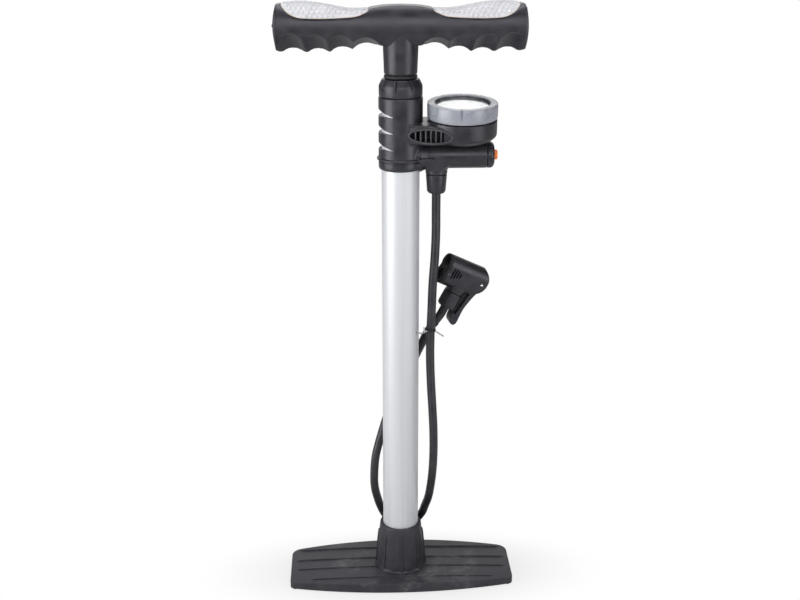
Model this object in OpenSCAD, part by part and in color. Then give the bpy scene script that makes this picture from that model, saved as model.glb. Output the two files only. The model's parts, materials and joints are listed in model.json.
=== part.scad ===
// Floor pump for bicycle tyres: a foot plate, a tall double-walled barrel, a head with a pressure
// gauge, an air release button and a hose outlet, a plunger with a wide two-hand handle, and a hose
// with a twin-port valve chuck, which hangs tied to itself beside the barrel.
// Millimetres. The origin is on the barrel's axis at the floor, +Z is up, +X is the gauge side and
// -Y is the front.

/* [Foot] */
// Half length of the foot plate
foot_half_length = 121.5; // [105:0.5:140]
// Half depth of the foot plate at its middle
foot_half_depth = 46.5; // [42:0.5:56]
// Half depth of the foot plate at its ends
foot_end_half_depth = 33; // [28:0.5:38]
// Corner radius of the foot plate
foot_corner_r = 8; // [4:0.5:12]
// Height of the plate's rim
foot_rim_h = 8; // [6:0.5:12]
// Rise of the plate's top from its ends to its middle
foot_crown = 2.7; // [1:0.1:5]
// Wall of the moulded foot
foot_wall = 3; // [2:0.25:4]
// Height of the grip ridges on the plate
ridge_h = 0.9; // [0.5:0.1:1.5]
// Width of a grip ridge
ridge_w = 2.2; // [1.5:0.1:3]
// Distance of the inner grip ridges from the middle
ridge_inner_y = 9.3; // [7:0.1:12]
// Distance of the outer grip ridges from the middle
ridge_outer_y = 30.5; // [29:0.1:34]
// Radius of a rubber pad under the plate
pad_r = 8; // [6:0.5:9]
// Height of a rubber pad below the plate
pad_h = 1.5; // [1:0.1:3]
// Height of the barrel socket's rim above the floor
socket_top_z = 64; // [55:1:80]
// Wall of the socket at its rim
socket_wall = 2.85; // [2:0.05:4]
// How much the socket widens from its rim to the plate
socket_flare = 4.3; // [3:0.1:7]
// How far a socket rib stands out
rib_h = 1.1; // [0.5:0.1:2]
// Width of a socket rib
rib_w = 1.6; // [1:0.1:3]

/* [Barrel] */
// Outer diameter of the barrel
barrel_od = 38; // [36:0.5:46]
// Wall of the barrel
barrel_wall = 1.5; // [1:0.1:1.6]
// Length of the barrel
barrel_length = 506; // [450:1:600]
// Radial gap in which the air rises between the barrel and the pressure cylinder
air_gap = 1.5; // [1:0.1:2.5]
// Wall of the pressure cylinder
cylinder_wall = 1.5; // [1:0.1:2]
// Diameter of the piston rod
rod_d = 12; // [10:0.5:14.5]
// Length of the piston
piston_h = 18; // [15:0.5:24]

/* [Head] */
// Wall of the head sleeve around the barrel
sleeve_wall = 2.85; // [2.5:0.05:4]
// Length of the sleeve below the barrel's top
sleeve_drop = 61; // [56:1:70]
// Length of the sleeve above the barrel's top
sleeve_rise = 11.7; // [9:0.1:16]
// How far the barrel cap stands back from the sleeve
cap_step = 0.6; // [0:0.1:1]
// Height of the barrel cap
cap_h = 17.3; // [15:0.1:22]
// Height of the cap's chamfer
cap_chamfer = 6; // [3:0.5:7]
// Radius of the cross tube that carries air to the hose and the gauge
cross_r = 13; // [12:0.1:13.5]
// How far the cross tube reaches past the gauge's centre
cross_reach = 25; // [22:0.5:30]
// Distance of the hose outlet's axis from the sleeve
outlet_gap = 14; // [14:0.5:16]
// Radius of the hose outlet's neck
neck_r = 11; // [10:0.1:11.5]
// Length of the hose nut on the outlet
hose_nut_h = 19.5; // [16:0.5:24]
// Length of the end cap on the cross tube
end_cap_h = 7.4; // [6:0.1:10]
// Radius of the air release button
button_r = 5; // [4:0.1:6]
// How far the air release button stands out
button_h = 3.6; // [3:0.1:5]

/* [Gauge] */
// Gap between the sleeve and the gauge's bezel
gauge_gap = 4; // [3:0.5:8]
// Radius of the gauge's bezel
bezel_r = 35; // [30:0.1:42]
// Height of the gauge's bezel
bezel_h = 15; // [13:0.5:18]
// Width of the bezel's lip over the window
bezel_lip = 4.8; // [3:0.1:7]
// How far the gauge's cup stands back from the bezel
cup_step = 0.4; // [0:0.1:1]
// Height of the gauge's cup
cup_h = 22; // [20:0.5:26]
// Lean of the gauge towards the front, in degrees
gauge_lean = 4.5; // [0:0.5:8]

/* [Handle] */
// Half length of the handle
handle_half_length = 123.5; // [118:0.5:135]
// Depth of the handle, front to back
handle_depth = 36; // [32:0.5:42]
// Height of the handle's bar
handle_h = 47; // [44:0.5:52]
// Radius of the handle's stem
stem_r = 17; // [16:0.1:17.5]
// Length of the handle's stem
stem_h = 30; // [26:0.5:36]
// Depth of a finger hollow under the handle
finger_depth = 3.4; // [2:0.1:5]
// Distance between finger hollows
finger_pitch = 23.7; // [22:0.1:25]
// Height of the rubber bumper under the stem
bumper_h = 4; // [3:0.1:6]

/* [Hose and chuck] */
// Outer diameter of the hose
hose_d = 8; // [7.6:0.1:8.5]
// Height of the chuck across its two ports
chuck_h = 34.7; // [34:0.1:38]
// Thickness of the chuck, front to back
chuck_t = 22; // [20:0.5:25]
// Distance between the two ports
port_pitch = 16.4; // [15.5:0.1:16.8]
// Bore for a wide car-type valve stem
wide_valve_d = 8; // [7.9:0.05:8.2]
// Bore for a slim racing valve stem
slim_valve_d = 6.3; // [6.2:0.05:6.5]
// Width of the chuck's lever
lever_w = 9.25; // [8:0.25:9.5]

/* [Fits] */
// Radial gap of parts that are pushed together
slip_gap = 0.15; // [0.1:0.01:0.2]
// Radial gap of parts that turn or slide
running_gap = 0.05; // [0.03:0.01:0.09]
// Gap between moving parts that come to rest on each other
rest_gap = 0.3; // [0.2:0.05:0.4]

/* [Hidden] */
$fn = 72;
// Turns a drawing in X and Y so that it stands in X and Z
UPRIGHT = [90, 0, 0];
// Turns the Z axis to point along +X
ALONG_X = [0, 90, 0];
// Past the end of a cut, so that no thin skin is left
OVER = 1;

// Foot
plate_z = pad_h;
plate_end_z = plate_z + foot_rim_h;
plate_top_z = plate_end_z + foot_crown;
foot_sag = foot_half_depth - foot_end_half_depth;
foot_arc_r = (foot_half_length ^ 2 + foot_sag ^ 2) / (2 * foot_sag);
crown_r = (foot_half_length ^ 2 + foot_crown ^ 2) / (2 * foot_crown);
pad_x = foot_half_length - foot_corner_r - pad_r;
pad_y = foot_end_half_depth - pad_r - 1;
pad_peg_r = 3;
pad_peg_h = 4;
rib_count = 8;
rib_short = 10;
socket_floor_z = plate_top_z + 3.8;
foot_hub_r = 16;

// Barrel, pressure cylinder and plugs
barrel_r = barrel_od / 2;
sleeve_bore_r = barrel_r + slip_gap;
socket_top_r = sleeve_bore_r + socket_wall;
socket_bottom_r = socket_top_r + socket_flare;
barrel_bore_r = barrel_r - barrel_wall;
barrel_z = socket_floor_z;
barrel_top_z = barrel_z + barrel_length;
cylinder_r = barrel_bore_r - air_gap;
cylinder_bore_r = cylinder_r - cylinder_wall;
flange_r = barrel_bore_r - slip_gap;
spigot_r = cylinder_bore_r - slip_gap;
bottom_flange_h = 16;
bottom_spigot_h = 12;
cylinder_z = barrel_z + bottom_flange_h;
bottom_plug_top_z = cylinder_z + bottom_spigot_h;
top_flange_h = 12;
top_spigot_h = 10;
top_plug_z = barrel_top_z - 38;
top_plug_end_z = top_plug_z + top_flange_h;
cylinder_length = top_plug_z - cylinder_z;
plug_ring_r = 1;
bottom_ring_z = barrel_z + bottom_flange_h / 2;
top_ring_z = top_plug_z + top_flange_h / 2;
air_port_r = 1.8;
air_port_z = cylinder_z + 4;

// Check valve in the bottom plug
valve_bore_r = 4.5;
valve_floor_z = barrel_z + 12;
valve_seat_r = 6;
valve_seat_h = 4;
valve_seat_z = bottom_plug_top_z - valve_seat_h;
valve_hole_r = 2;
ball_r = 3.2;
ball_z = valve_seat_z - sqrt(ball_r ^ 2 - valve_hole_r ^ 2) - slip_gap;
valve_spring_wire_r = 0.4;
valve_spring_r = 2.2;

// Bolt that holds the bottom plug in the foot
bolt_r = 4;
bolt_head_af = 13;
bolt_head_h = 5.5;
bolt_reach = 9;
washer_r = 8;
washer_h = 1.6;
bolt_seat_z = plate_z + 8;

// Piston and rod
rod_r = rod_d / 2;
piston_rest_gap = 4;
piston_z = bottom_plug_top_z + piston_rest_gap;
piston_top_z = piston_z + piston_h;
piston_r = cylinder_bore_r - rest_gap;
piston_ring_r = 1.1;
journal_r = 4;
rod_nut_af = 13;
rod_nut_h = 5.3;
rod_nut_pocket_r = 8.2;
rod_nut_pocket_h = 6;

// Head
sleeve_z = barrel_top_z - sleeve_drop;
sleeve_top_z = barrel_top_z + sleeve_rise;
sleeve_r = sleeve_bore_r + sleeve_wall;
cap_r = sleeve_r - cap_step;
gauge_x = sleeve_r + gauge_gap + bezel_r;
outlet_x = sleeve_r + outlet_gap;
cross_end_x = gauge_x + cross_reach;
cap_thread_r = barrel_bore_r - 2 * slip_gap;
clamp_wall = 2;
cap_skirt_h = sleeve_rise - 2;
cap_top_z = sleeve_top_z + cap_h;
wiper_r = rod_r + 3.5;
wiper_h = 5;
bush_r = rod_r + 3;
bush_h = 10;
head_ring_r = 0.9;
cross_z = barrel_top_z - 48;
cross_bore_r = 7;
head_low_z = min(sleeve_z, cross_z - cross_r) - OVER;
cross_bore_x = sleeve_r + 4;
link_r = 3;
head_ring_offsets = [-7, 7];
gill_count = 3;
gill_pitch = 16.5;
gill_h = 3.2;
gill_tip_x = -9;
gill_z = barrel_top_z - 39;
web_z = cross_z + 12;
web_top_z = cross_z + 35;
web_start_x = 4;
web_end_x = gauge_x - 11;
web_start_y = sleeve_r - 1;
web_end_y = web_start_y + 6;
grille_x = sleeve_r + 7.5;
grille_z = cross_z + 24;
grille_half_length = 22.5;
grille_half_h = 8.5;
grille_count = 7;
grille_slot_w = 2.6;
grille_slot_pitch = 5.4;
grille_depth = 3;

// Hose outlet and air release
neck_z = cross_z - 19;
hose_nut_z = neck_z - hose_nut_h;
barb_bore_r = 3.8;
barb_flange_r = 7;
barb_flange_h = 5;
barb_tail_r = 3;
end_spigot_h = 8;
stem_valve_r = 2;
poppet_r = 4.5;
poppet_h = 2.7;
button_tail_h = 4.9;
button_spring_wire_r = 0.4;
button_spring_r = 3.6;
button_floor_x = cross_end_x - 3;
button_x = cross_end_x + end_cap_h - button_tail_h;

// Gauge
cup_z = cross_z + 17;
cup_top_z = cup_z + cup_h;
cup_wall = 2.8;
cup_floor = 3;
cup_r = bezel_r - cup_step;
cup_bore_r = cup_r - cup_wall;
movement_r = cup_bore_r - 5.8;
movement_h = 14;
movement_post_r = 5;
movement_z = cup_z + cup_floor;
nipple_r = 4;
dial_h = 1;
dial_z = cup_top_z - dial_h;
dial_r = cup_bore_r - 2 * slip_gap;
window_r = dial_r - bezel_lip;
spacer_h = 9;
lens_h = 2;
lens_z = cup_top_z + spacer_h;
needle_shaft_r = 1;
needle_z = cup_top_z + 2;
needle_length = window_r - 5.7;
bezel_notch_count = 8;
bezel_notch_w = 2.4;

// Handle
stem_z = cap_top_z + bumper_h;
bar_z = stem_z + stem_h - 8.6;
bar_top_z = bar_z + handle_h;
bar_mid_top_z = bar_top_z - 1.5;
bar_round = 12;
end_round = 5.5;
// Distance from the middle and rise of the bar's underside, before the finger hollows
BAR_UNDERSIDE = [[23, 7.6], [69, 0], [handle_half_length - end_round, 1.1]];
grip_floor_z = bar_z + 33.6;
grip_x = 30;
grip_end_x = handle_half_length - 6.3;
grip_half_depth = handle_depth / 2 - 2;
finger_count = 4;
finger_first_x = 33;
finger_r = 17;
rod_top_z = bar_z + 27;
insert_r = rod_r + 4;
insert_h = 24;

// Hose and chuck: the chuck's own frame starts where the hose ends, with Z along the hose, and the
// ports face -X
HOSE_ROUTE = [
    [outlet_x, 0, hose_nut_z], [outlet_x, 0, hose_nut_z - 20], [36, -1, 394], [35, -3, 369],
    [33, -4, 340], [32, -4, 310], [31, -4, 281], [31, -5, 254], [32, -7, 227], [33.5, -9, 201],
    [34.7, -10, 176], [35, -9, 149], [34.4, -6, 128], [33, 1, 106], [31, 8.5, 87.5], [28, 15, 74],
    [24, 21, 60], [14, 27, 47], [1.5, 30.3, 41], [-9, 28.8, 46.5], [-17, 25.5, 59],
    [-21.8, 22, 71], [-25, 18.5, 83], [-27.3, 15.5, 94], [-28.4, 13, 105], [-28.4, 11, 115.5],
    [-28, 10, 125.5], [-26.5, 10, 139], [-23.5, 12, 151], [-19.5, 15.5, 164], [-13, 20, 183],
    [-4, 24, 201], [5, 24, 220], [12, 21.5, 239], [18.5, 17, 256], [25, 14, 271], [31, 14, 283],
    [37.3, 15.7, 291.3], [42.8, 17, 298.25], [48, 17, 308]
];
hose_r = hose_d / 2;
hose_sides = 10;
hose_end = HOSE_ROUTE[len(HOSE_ROUTE) - 1];
hose_run = hose_end - HOSE_ROUTE[len(HOSE_ROUTE) - 2];
chuck_tilt = atan2(hose_run.x, hose_run.z);
// Turn of the ports towards the front
chuck_turn = 15;
chuck_nut_r = 9.8;
chuck_nut_h = 18;
chuck_neck_h = 2.6;
chuck_z = chuck_nut_h + chuck_neck_h;
chuck_face_x = -24.3;
face_plate_t = 2.5;
chuck_start_x = chuck_face_x + face_plate_t;
chuck_end_r = 19.3;
chuck_end_x = 12.4;
slim_port_z = chuck_z + 9.9;
wide_port_z = slim_port_z + port_pitch;
port_r = 6.1;
grommet_h = 7.5;
grommet_x = chuck_start_x + rest_gap;
plunger_travel = 2;
plunger_x = grommet_x + grommet_h + plunger_travel + rest_gap;
yoke_t = 4;
yoke_room = 1.4;
fork_gap = 12.6;
pin_r = 2;
pin_x = 20.2;
pin_z = chuck_z + 18;
cam_r = 8.4;
cam_offset = 1.6;
yoke_back_x = pin_x - cam_r - rest_gap;
port_end_x = yoke_back_x - yoke_t - plunger_travel - 1.5;
fork_start_x = yoke_back_x + 0.5;
fork_roof_z = pin_z + cam_r + cam_offset + 0.7;
lever_top = [pin_x - 2, chuck_z + 12];
lever_tip = [14.4, -10.2];
lever_gap = 0.3;

// Wire tie around the two strands of the hose
tie_z = 285;
tie_x = 31.9;
tie_front_y = -3;
tie_back_y = 13.6;
tie_wire_r = 0.7;
tie_inner_r = hose_r + 2.3;

// Swept tubes
function unit(v) = v / norm(v);
function tangents(p) =
    [for (i = [0:len(p) - 1]) unit(p[min(i + 1, len(p) - 1)] - p[max(i - 1, 0)])];
function carried(side, t) = unit(side - (side * t) * t);
function sides_along(t, side, i = 0) =
    i == len(t) ? [] : let (s = carried(side, t[i])) concat([s], sides_along(t, s, i + 1));

// A round tube along a path, with flat ends square to the path
module swept_tube(path, r, count, first_side) {
    t = tangents(path);
    s = sides_along(t, first_side);
    last = len(path) - 1;
    points = [
        for (i = [0:last]) for (k = [0:count - 1])
            let (a = 360 * k / count)
            path[i] + r * (cos(a) * s[i] + sin(a) * cross(t[i], s[i]))
    ];
    walls = [
        for (i = [0:last - 1]) for (k = [0:count - 1])
            let (next = (k + 1) % count)
            [i * count + k, (i + 1) * count + k, (i + 1) * count + next, i * count + next]
    ];
    first_end = [for (k = [0:count - 1]) k];
    last_end = [for (k = [count - 1:-1:0]) last * count + k];
    polyhedron(points, concat([first_end], walls, [last_end]));
}

// A coil spring that stands on Z = 0
module coil(coil_r, wire_r, length, turns) {
    steps = 14;
    rise = length - 2 * wire_r;
    path = [
        for (i = [0:turns * steps])
            let (a = 360 * i / steps)
            [coil_r * cos(a), coil_r * sin(a), wire_r + rise * i / (turns * steps)]
    ];
    swept_tube(path, wire_r, 8, [1, 0, 0]);
}

// A sealing ring of round section, centred on Z = 0
module ring(mid_r, section_r) {
    rotate_extrude() translate([mid_r, 0]) circle(section_r, $fn = 24);
}

// A straight tube that stands on Z = 0
module pipe(outer_r, inner_r, length) {
    difference() {
        cylinder(r = outer_r, h = length);
        translate([0, 0, -OVER]) cylinder(r = inner_r, h = length + 2 * OVER);
    }
}

// A square groove around Z, centred on Z = 0, for a ring of the given section
module ring_groove(inner_r, outer_r, section_r) {
    half_h = section_r + slip_gap;
    rotate_extrude() translate([inner_r, -half_h]) square([outer_r - inner_r, 2 * half_h]);
}

// A hexagon that stands on Z = 0
module hexagon(across_flats, h) {
    cylinder(d = across_flats / cos(30), h = h, $fn = 6);
}

module foot_outline(inset = 0) {
    offset(r = foot_corner_r - inset, $fn = 32) offset(delta = -foot_corner_r) intersection() {
        square(2 * [foot_half_length, foot_half_depth], center = true);
        foot_arcs();
    }
}

module foot_arcs() {
    intersection() {
        translate([0, foot_arc_r - foot_half_depth]) circle(foot_arc_r, $fn = 240);
        translate([0, foot_half_depth - foot_arc_r]) circle(foot_arc_r, $fn = 240);
    }
}

// Everything under the plate's crowned top, or under a surface that lies the given depth below it
module under_crown(depth = 0) {
    translate([0, 0, plate_top_z - crown_r]) rotate(UPRIGHT)
        cylinder(r = crown_r - depth, h = 4 * foot_half_depth, center = true, $fn = 720);
}

module pad_places() {
    for (x = [-pad_x, pad_x], y = [-pad_y, pad_y]) translate([x, y, 0]) children();
}

module socket_rib() {
    top_z = socket_top_z - rib_short;
    slope = (socket_bottom_r - socket_top_r) / (socket_top_z - plate_top_z);
    top_r = socket_top_r + slope * rib_short;
    rotate(UPRIGHT) linear_extrude(rib_w, center = true) polygon([
        [sleeve_bore_r + OVER, plate_end_z],
        [socket_bottom_r + rib_h, plate_end_z],
        [socket_bottom_r + rib_h, plate_top_z],
        [top_r + rib_h, top_z],
        [sleeve_bore_r + OVER, top_z]
    ]);
}

module foot_shell() {
    difference() {
        intersection() {
            translate([0, 0, plate_z]) linear_extrude(foot_rim_h + foot_crown) foot_outline();
            under_crown();
        }
        intersection() {
            translate([0, 0, plate_z - OVER]) linear_extrude(foot_rim_h + foot_crown)
                foot_outline(foot_wall);
            under_crown(foot_wall);
        }
    }
}

module foot_ridges() {
    intersection() {
        for (y = [-ridge_outer_y, -ridge_inner_y, ridge_inner_y, ridge_outer_y])
            translate([-foot_half_length + 12, y - ridge_w / 2, plate_end_z - foot_wall / 2])
                cube([2 * foot_half_length - 24, ridge_w, 20]);
        under_crown(-ridge_h);
    }
}

module foot_bosses() {
    boss_h = plate_end_z - plate_z - foot_wall / 2;
    translate([0, 0, plate_z]) cylinder(r = foot_hub_r + foot_wall, h = socket_floor_z - plate_z);
    pad_places() translate([0, 0, plate_z]) cylinder(r = pad_peg_r + foot_wall, h = boss_h);
    for (x = [-1, 1])
        translate([x * foot_half_length / 2, 0, plate_z + boss_h / 2])
            cube([foot_half_length - foot_wall, foot_wall, boss_h], center = true);
}

module foot_plate() {
    color("dimgray") difference() {
        union() {
            foot_shell();
            foot_ridges();
            foot_bosses();
            translate([0, 0, plate_end_z]) cylinder(r = socket_bottom_r, h = foot_crown);
            translate([0, 0, plate_top_z])
                cylinder(r1 = socket_bottom_r, r2 = socket_top_r, h = socket_top_z - plate_top_z);
            for (i = [0:rib_count - 1])
                rotate([0, 0, i * 360 / rib_count - 90]) socket_rib();
        }
        translate([0, 0, socket_floor_z]) cylinder(r = sleeve_bore_r, h = socket_top_z);
        translate([0, 0, -OVER]) cylinder(r = washer_r + rest_gap, h = bolt_seat_z + OVER);
        cylinder(r = bolt_r + slip_gap, h = socket_top_z);
        pad_places() cylinder(r = pad_peg_r + slip_gap, h = plate_z + pad_peg_h + slip_gap);
    }
}

module rubber_pads() {
    color("black") pad_places() {
        cylinder(r = pad_r, h = pad_h);
        cylinder(r = pad_peg_r, h = pad_h + pad_peg_h);
    }
}

module foot_bolt() {
    color("silver") translate([0, 0, bolt_seat_z - washer_h]) {
        translate([0, 0, -bolt_head_h]) hexagon(bolt_head_af, bolt_head_h);
        cylinder(r = bolt_r, h = socket_floor_z + bolt_reach - bolt_seat_z + washer_h);
    }
}

module foot_washer() {
    color("silver") translate([0, 0, bolt_seat_z - washer_h])
        pipe(washer_r, bolt_r + slip_gap, washer_h);
}

module bottom_plug() {
    color("whitesmoke") difference() {
        union() {
            translate([0, 0, barrel_z]) cylinder(r = flange_r, h = bottom_flange_h);
            translate([0, 0, cylinder_z]) cylinder(r = spigot_r, h = bottom_spigot_h);
        }
        translate([0, 0, barrel_z - OVER]) cylinder(r = bolt_r + slip_gap, h = bolt_reach + 2 * OVER);
        translate([0, 0, valve_floor_z]) cylinder(r = valve_bore_r, h = bottom_plug_top_z);
        translate([0, 0, valve_seat_z]) cylinder(r = valve_seat_r + slip_gap, h = bottom_plug_top_z);
        translate([0, 0, bottom_ring_z])
            ring_groove(barrel_bore_r - 2 * plug_ring_r - slip_gap, barrel_bore_r + OVER, plug_ring_r);
        air_ports();
    }
}

module air_ports() {
    for (a = [0, 90])
        translate([0, 0, air_port_z]) rotate([0, 90, a])
            cylinder(r = air_port_r, h = 2 * barrel_bore_r, center = true, $fn = 32);
}

module check_seat() {
    color("gold") translate([0, 0, valve_seat_z]) pipe(valve_seat_r, valve_hole_r, valve_seat_h);
}

module check_ball() {
    color("silver") translate([0, 0, ball_z]) sphere(ball_r);
}

module check_spring() {
    length = ball_z - sqrt(ball_r ^ 2 - valve_spring_r ^ 2) - valve_floor_z - slip_gap;
    color("silver") translate([0, 0, valve_floor_z])
        coil(valve_spring_r, valve_spring_wire_r, length, 4);
}

module plug_rings() {
    mid_r = barrel_bore_r - plug_ring_r - running_gap;
    color("black") for (z = [bottom_ring_z, top_ring_z])
        translate([0, 0, z]) ring(mid_r, plug_ring_r);
}

module barrel() {
    color("silver") difference() {
        translate([0, 0, barrel_z]) pipe(barrel_r, barrel_bore_r, barrel_length);
        translate([0, 0, cross_z]) rotate(ALONG_X) cylinder(r = link_r, h = barrel_od);
    }
}

module pressure_cylinder() {
    color("gainsboro") difference() {
        translate([0, 0, cylinder_z]) pipe(cylinder_r, cylinder_bore_r, cylinder_length);
        air_ports();
    }
}

module top_plug() {
    vent_r = 1.2;
    vent_ring_r = (bush_r + spigot_r) / 2;
    color("whitesmoke") difference() {
        union() {
            translate([0, 0, top_plug_z]) cylinder(r = flange_r, h = top_flange_h);
            translate([0, 0, top_plug_z - top_spigot_h]) cylinder(r = spigot_r, h = top_spigot_h);
        }
        translate([0, 0, sleeve_z]) cylinder(r = rod_r + 1, h = sleeve_drop);
        translate([0, 0, top_plug_end_z - bush_h]) cylinder(r = bush_r + slip_gap, h = sleeve_drop);
        translate([0, 0, top_ring_z])
            ring_groove(barrel_bore_r - 2 * plug_ring_r - slip_gap, barrel_bore_r + OVER, plug_ring_r);
        for (a = [45:90:315])
            rotate([0, 0, a]) translate([vent_ring_r, 0, sleeve_z])
                cylinder(r = vent_r, h = sleeve_drop, $fn = 24);
    }
}

module rod_bush() {
    color("gold") translate([0, 0, top_plug_end_z - bush_h])
        pipe(bush_r, rod_r + running_gap, bush_h);
}

module clamp_sleeve() {
    length = sleeve_top_z - cap_skirt_h - top_plug_end_z;
    color("whitesmoke") translate([0, 0, top_plug_end_z])
        pipe(cap_thread_r - slip_gap, cap_thread_r - clamp_wall, length);
}

module gill_cut(z) {
    rotate(UPRIGHT) linear_extrude(3 * sleeve_r, center = true) polygon([
        [gill_tip_x, z],
        [-2 * sleeve_r, z],
        [-2 * sleeve_r, z + gill_h * 2],
        [-sleeve_r, z + gill_h]
    ]);
}

module grille_cuts() {
    for (i = [0:grille_count - 1]) {
        x = (i - (grille_count - 1) / 2) * grille_slot_pitch;
        h = 1.5 * grille_half_h * sqrt(1 - (x / grille_half_length) ^ 2);
        for (side = [-1, 1])
            translate([grille_x + x, side * web_face_y(grille_x + x), grille_z])
                cube([grille_slot_w, 2 * grille_depth, h], center = true);
    }
}

function web_face_y(x) = lookup(x, [[web_start_x, web_start_y], [web_end_x, web_end_y]]);

module head_web() {
    translate([0, 0, web_z]) linear_extrude(web_top_z - web_z) polygon([
        [web_start_x, -web_start_y],
        [web_end_x, -web_end_y],
        [web_end_x, web_end_y],
        [web_start_x, web_start_y]
    ]);
}

// Leans what stands on the gauge's axis towards the front, about the cross tube
module at_gauge(z) {
    translate([gauge_x, 0, cross_z]) rotate([gauge_lean, 0, 0]) translate([0, 0, z - cross_z]) children();
}

module head_cup() {
    cup_chamfer = 4;
    at_gauge(cup_z) {
        cylinder(r1 = cup_r - cup_chamfer, r2 = cup_r, h = cup_chamfer);
        translate([0, 0, cup_chamfer]) cylinder(r = cup_r, h = cup_h - cup_chamfer);
    }
    at_gauge(cross_z) cylinder(r = cross_r, h = cup_z - cross_z + cup_floor);
}

module head_housing() {
    color("dimgray") difference() {
        union() {
            translate([0, 0, sleeve_z]) cylinder(r = sleeve_r, h = sleeve_drop + sleeve_rise);
            translate([0, 0, cross_z]) rotate(ALONG_X) cylinder(r = cross_r, h = cross_end_x);
            translate([outlet_x, 0, neck_z]) cylinder(r = neck_r, h = cross_z - neck_z);
            head_web();
            head_cup();
        }
        translate([0, 0, head_low_z]) cylinder(r = sleeve_bore_r, h = barrel_top_z - head_low_z);
        translate([0, 0, sleeve_z]) cylinder(r = cap_thread_r, h = sleeve_drop + sleeve_rise + OVER);
        translate([cross_bore_x, 0, cross_z]) rotate(ALONG_X) cylinder(r = cross_bore_r, h = cross_end_x);
        translate([0, 0, cross_z]) rotate(ALONG_X) cylinder(r = link_r, h = cross_end_x);
        translate([outlet_x, 0, neck_z - OVER]) cylinder(r = barb_bore_r + slip_gap, h = cross_z - neck_z);
        at_gauge(movement_z) cylinder(r = cup_bore_r, h = cup_h);
        at_gauge(cross_z) cylinder(r = nipple_r + slip_gap, h = cup_h);
        for (i = [0:gill_count - 1]) gill_cut(gill_z + i * gill_pitch);
        grille_cuts();
        for (dz = head_ring_offsets)
            translate([0, 0, cross_z + dz])
                ring_groove(barrel_r, barrel_r + 2 * head_ring_r + slip_gap, head_ring_r);
    }
}

module head_rings() {
    color("black") for (dz = head_ring_offsets)
        translate([0, 0, cross_z + dz]) ring(barrel_r + head_ring_r + running_gap, head_ring_r);
}

module barrel_cap() {
    color("dimgray") difference() {
        union() {
            translate([0, 0, sleeve_top_z]) cylinder(r = cap_r, h = cap_h - cap_chamfer);
            translate([0, 0, cap_top_z - cap_chamfer])
                cylinder(r1 = cap_r, r2 = cap_r - 3.4, h = cap_chamfer);
            translate([0, 0, sleeve_top_z - cap_skirt_h])
                cylinder(r = cap_thread_r - slip_gap, h = cap_skirt_h);
        }
        translate([0, 0, sleeve_z]) cylinder(r = cap_thread_r - clamp_wall, h = sleeve_top_z - sleeve_z);
        translate([0, 0, sleeve_z]) cylinder(r = rod_r + rest_gap, h = 2 * sleeve_drop);
        translate([0, 0, sleeve_top_z - OVER]) cylinder(r = wiper_r + slip_gap, h = wiper_h + OVER);
        for (a = [0:45:315])
            rotate([0, 0, a - 98]) translate([cap_r, 0, cap_top_z - cap_chamfer / 2])
                sphere(2.4, $fn = 32);
    }
}

module rod_wiper() {
    color("black") translate([0, 0, sleeve_top_z]) pipe(wiper_r, rod_r + running_gap, wiper_h);
}

module gauge_movement() {
    post_h = dial_z - movement_z;
    color("gold") at_gauge(movement_z) difference() {
        union() {
            cylinder(r = movement_r, h = movement_h);
            cylinder(r = movement_post_r, h = post_h);
        }
        translate([0, 0, post_h / 2]) cylinder(r = needle_shaft_r + running_gap, h = post_h);
    }
}

module gauge_nipple() {
    nipple_z = cross_z + cross_bore_r + OVER;
    color("gold") at_gauge(nipple_z) pipe(nipple_r, link_r / 2, movement_z - nipple_z);
}

module gauge_dial() {
    color("white") at_gauge(dial_z)
        pipe(dial_r, needle_shaft_r + rest_gap, dial_h);
}

module gauge_spacer() {
    color("white") at_gauge(cup_top_z)
        pipe(dial_r, dial_r - 1.8, spacer_h);
}

module gauge_lens() {
    color("lightcyan", 0.4) at_gauge(lens_z) cylinder(r = dial_r, h = lens_h);
}

module gauge_bezel() {
    lip_h = bezel_h - spacer_h - lens_h;
    slope = 3;
    color("darkgray") at_gauge(cup_top_z) difference() {
        union() {
            cylinder(r = bezel_r, h = bezel_h - slope);
            translate([0, 0, bezel_h - slope]) cylinder(r1 = bezel_r, r2 = bezel_r - slope, h = slope);
        }
        translate([0, 0, -OVER]) cylinder(r = dial_r + slip_gap, h = bezel_h - lip_h + OVER);
        translate([0, 0, -OVER]) cylinder(r = window_r, h = bezel_h + 2 * OVER);
        for (i = [0:bezel_notch_count - 1])
            rotate([0, 0, i * 360 / bezel_notch_count - 90]) translate([bezel_r, 0, bezel_h / 2])
                cube([bezel_notch_w, bezel_notch_w, 2 * bezel_h / 3], center = true);
    }
}

module gauge_needle() {
    hub_r = 3;
    hub_h = 3;
    blade_h = 0.8;
    shaft_h = needle_z - dial_z + 0.4 * (dial_z - movement_z);
    color("crimson") at_gauge(needle_z) {
        translate([0, 0, -shaft_h]) cylinder(r = needle_shaft_r, h = shaft_h);
        cylinder(r = hub_r, h = hub_h);
        rotate([0, 0, -135]) linear_extrude(blade_h)
            polygon([[-7, -1.2], [needle_length, -0.4], [needle_length, 0.4], [-7, 1.2]]);
    }
}

module along_cross_tube(x) {
    translate([x, 0, cross_z]) rotate(ALONG_X) children();
}

module release_end_cap() {
    edge = 1.5;
    color("dimgray") difference() {
        union() {
            along_cross_tube(cross_end_x) cylinder(r = cross_r, h = end_cap_h - edge);
            along_cross_tube(cross_end_x + end_cap_h - edge)
                cylinder(r1 = cross_r, r2 = cross_r - edge, h = edge);
            along_cross_tube(cross_end_x - end_spigot_h)
                cylinder(r = cross_bore_r - slip_gap, h = end_spigot_h);
        }
        along_cross_tube(button_floor_x) cylinder(r = button_r + running_gap, h = cross_end_x);
        along_cross_tube(cross_bore_x) cylinder(r = stem_valve_r + running_gap, h = cross_end_x);
    }
}

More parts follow.
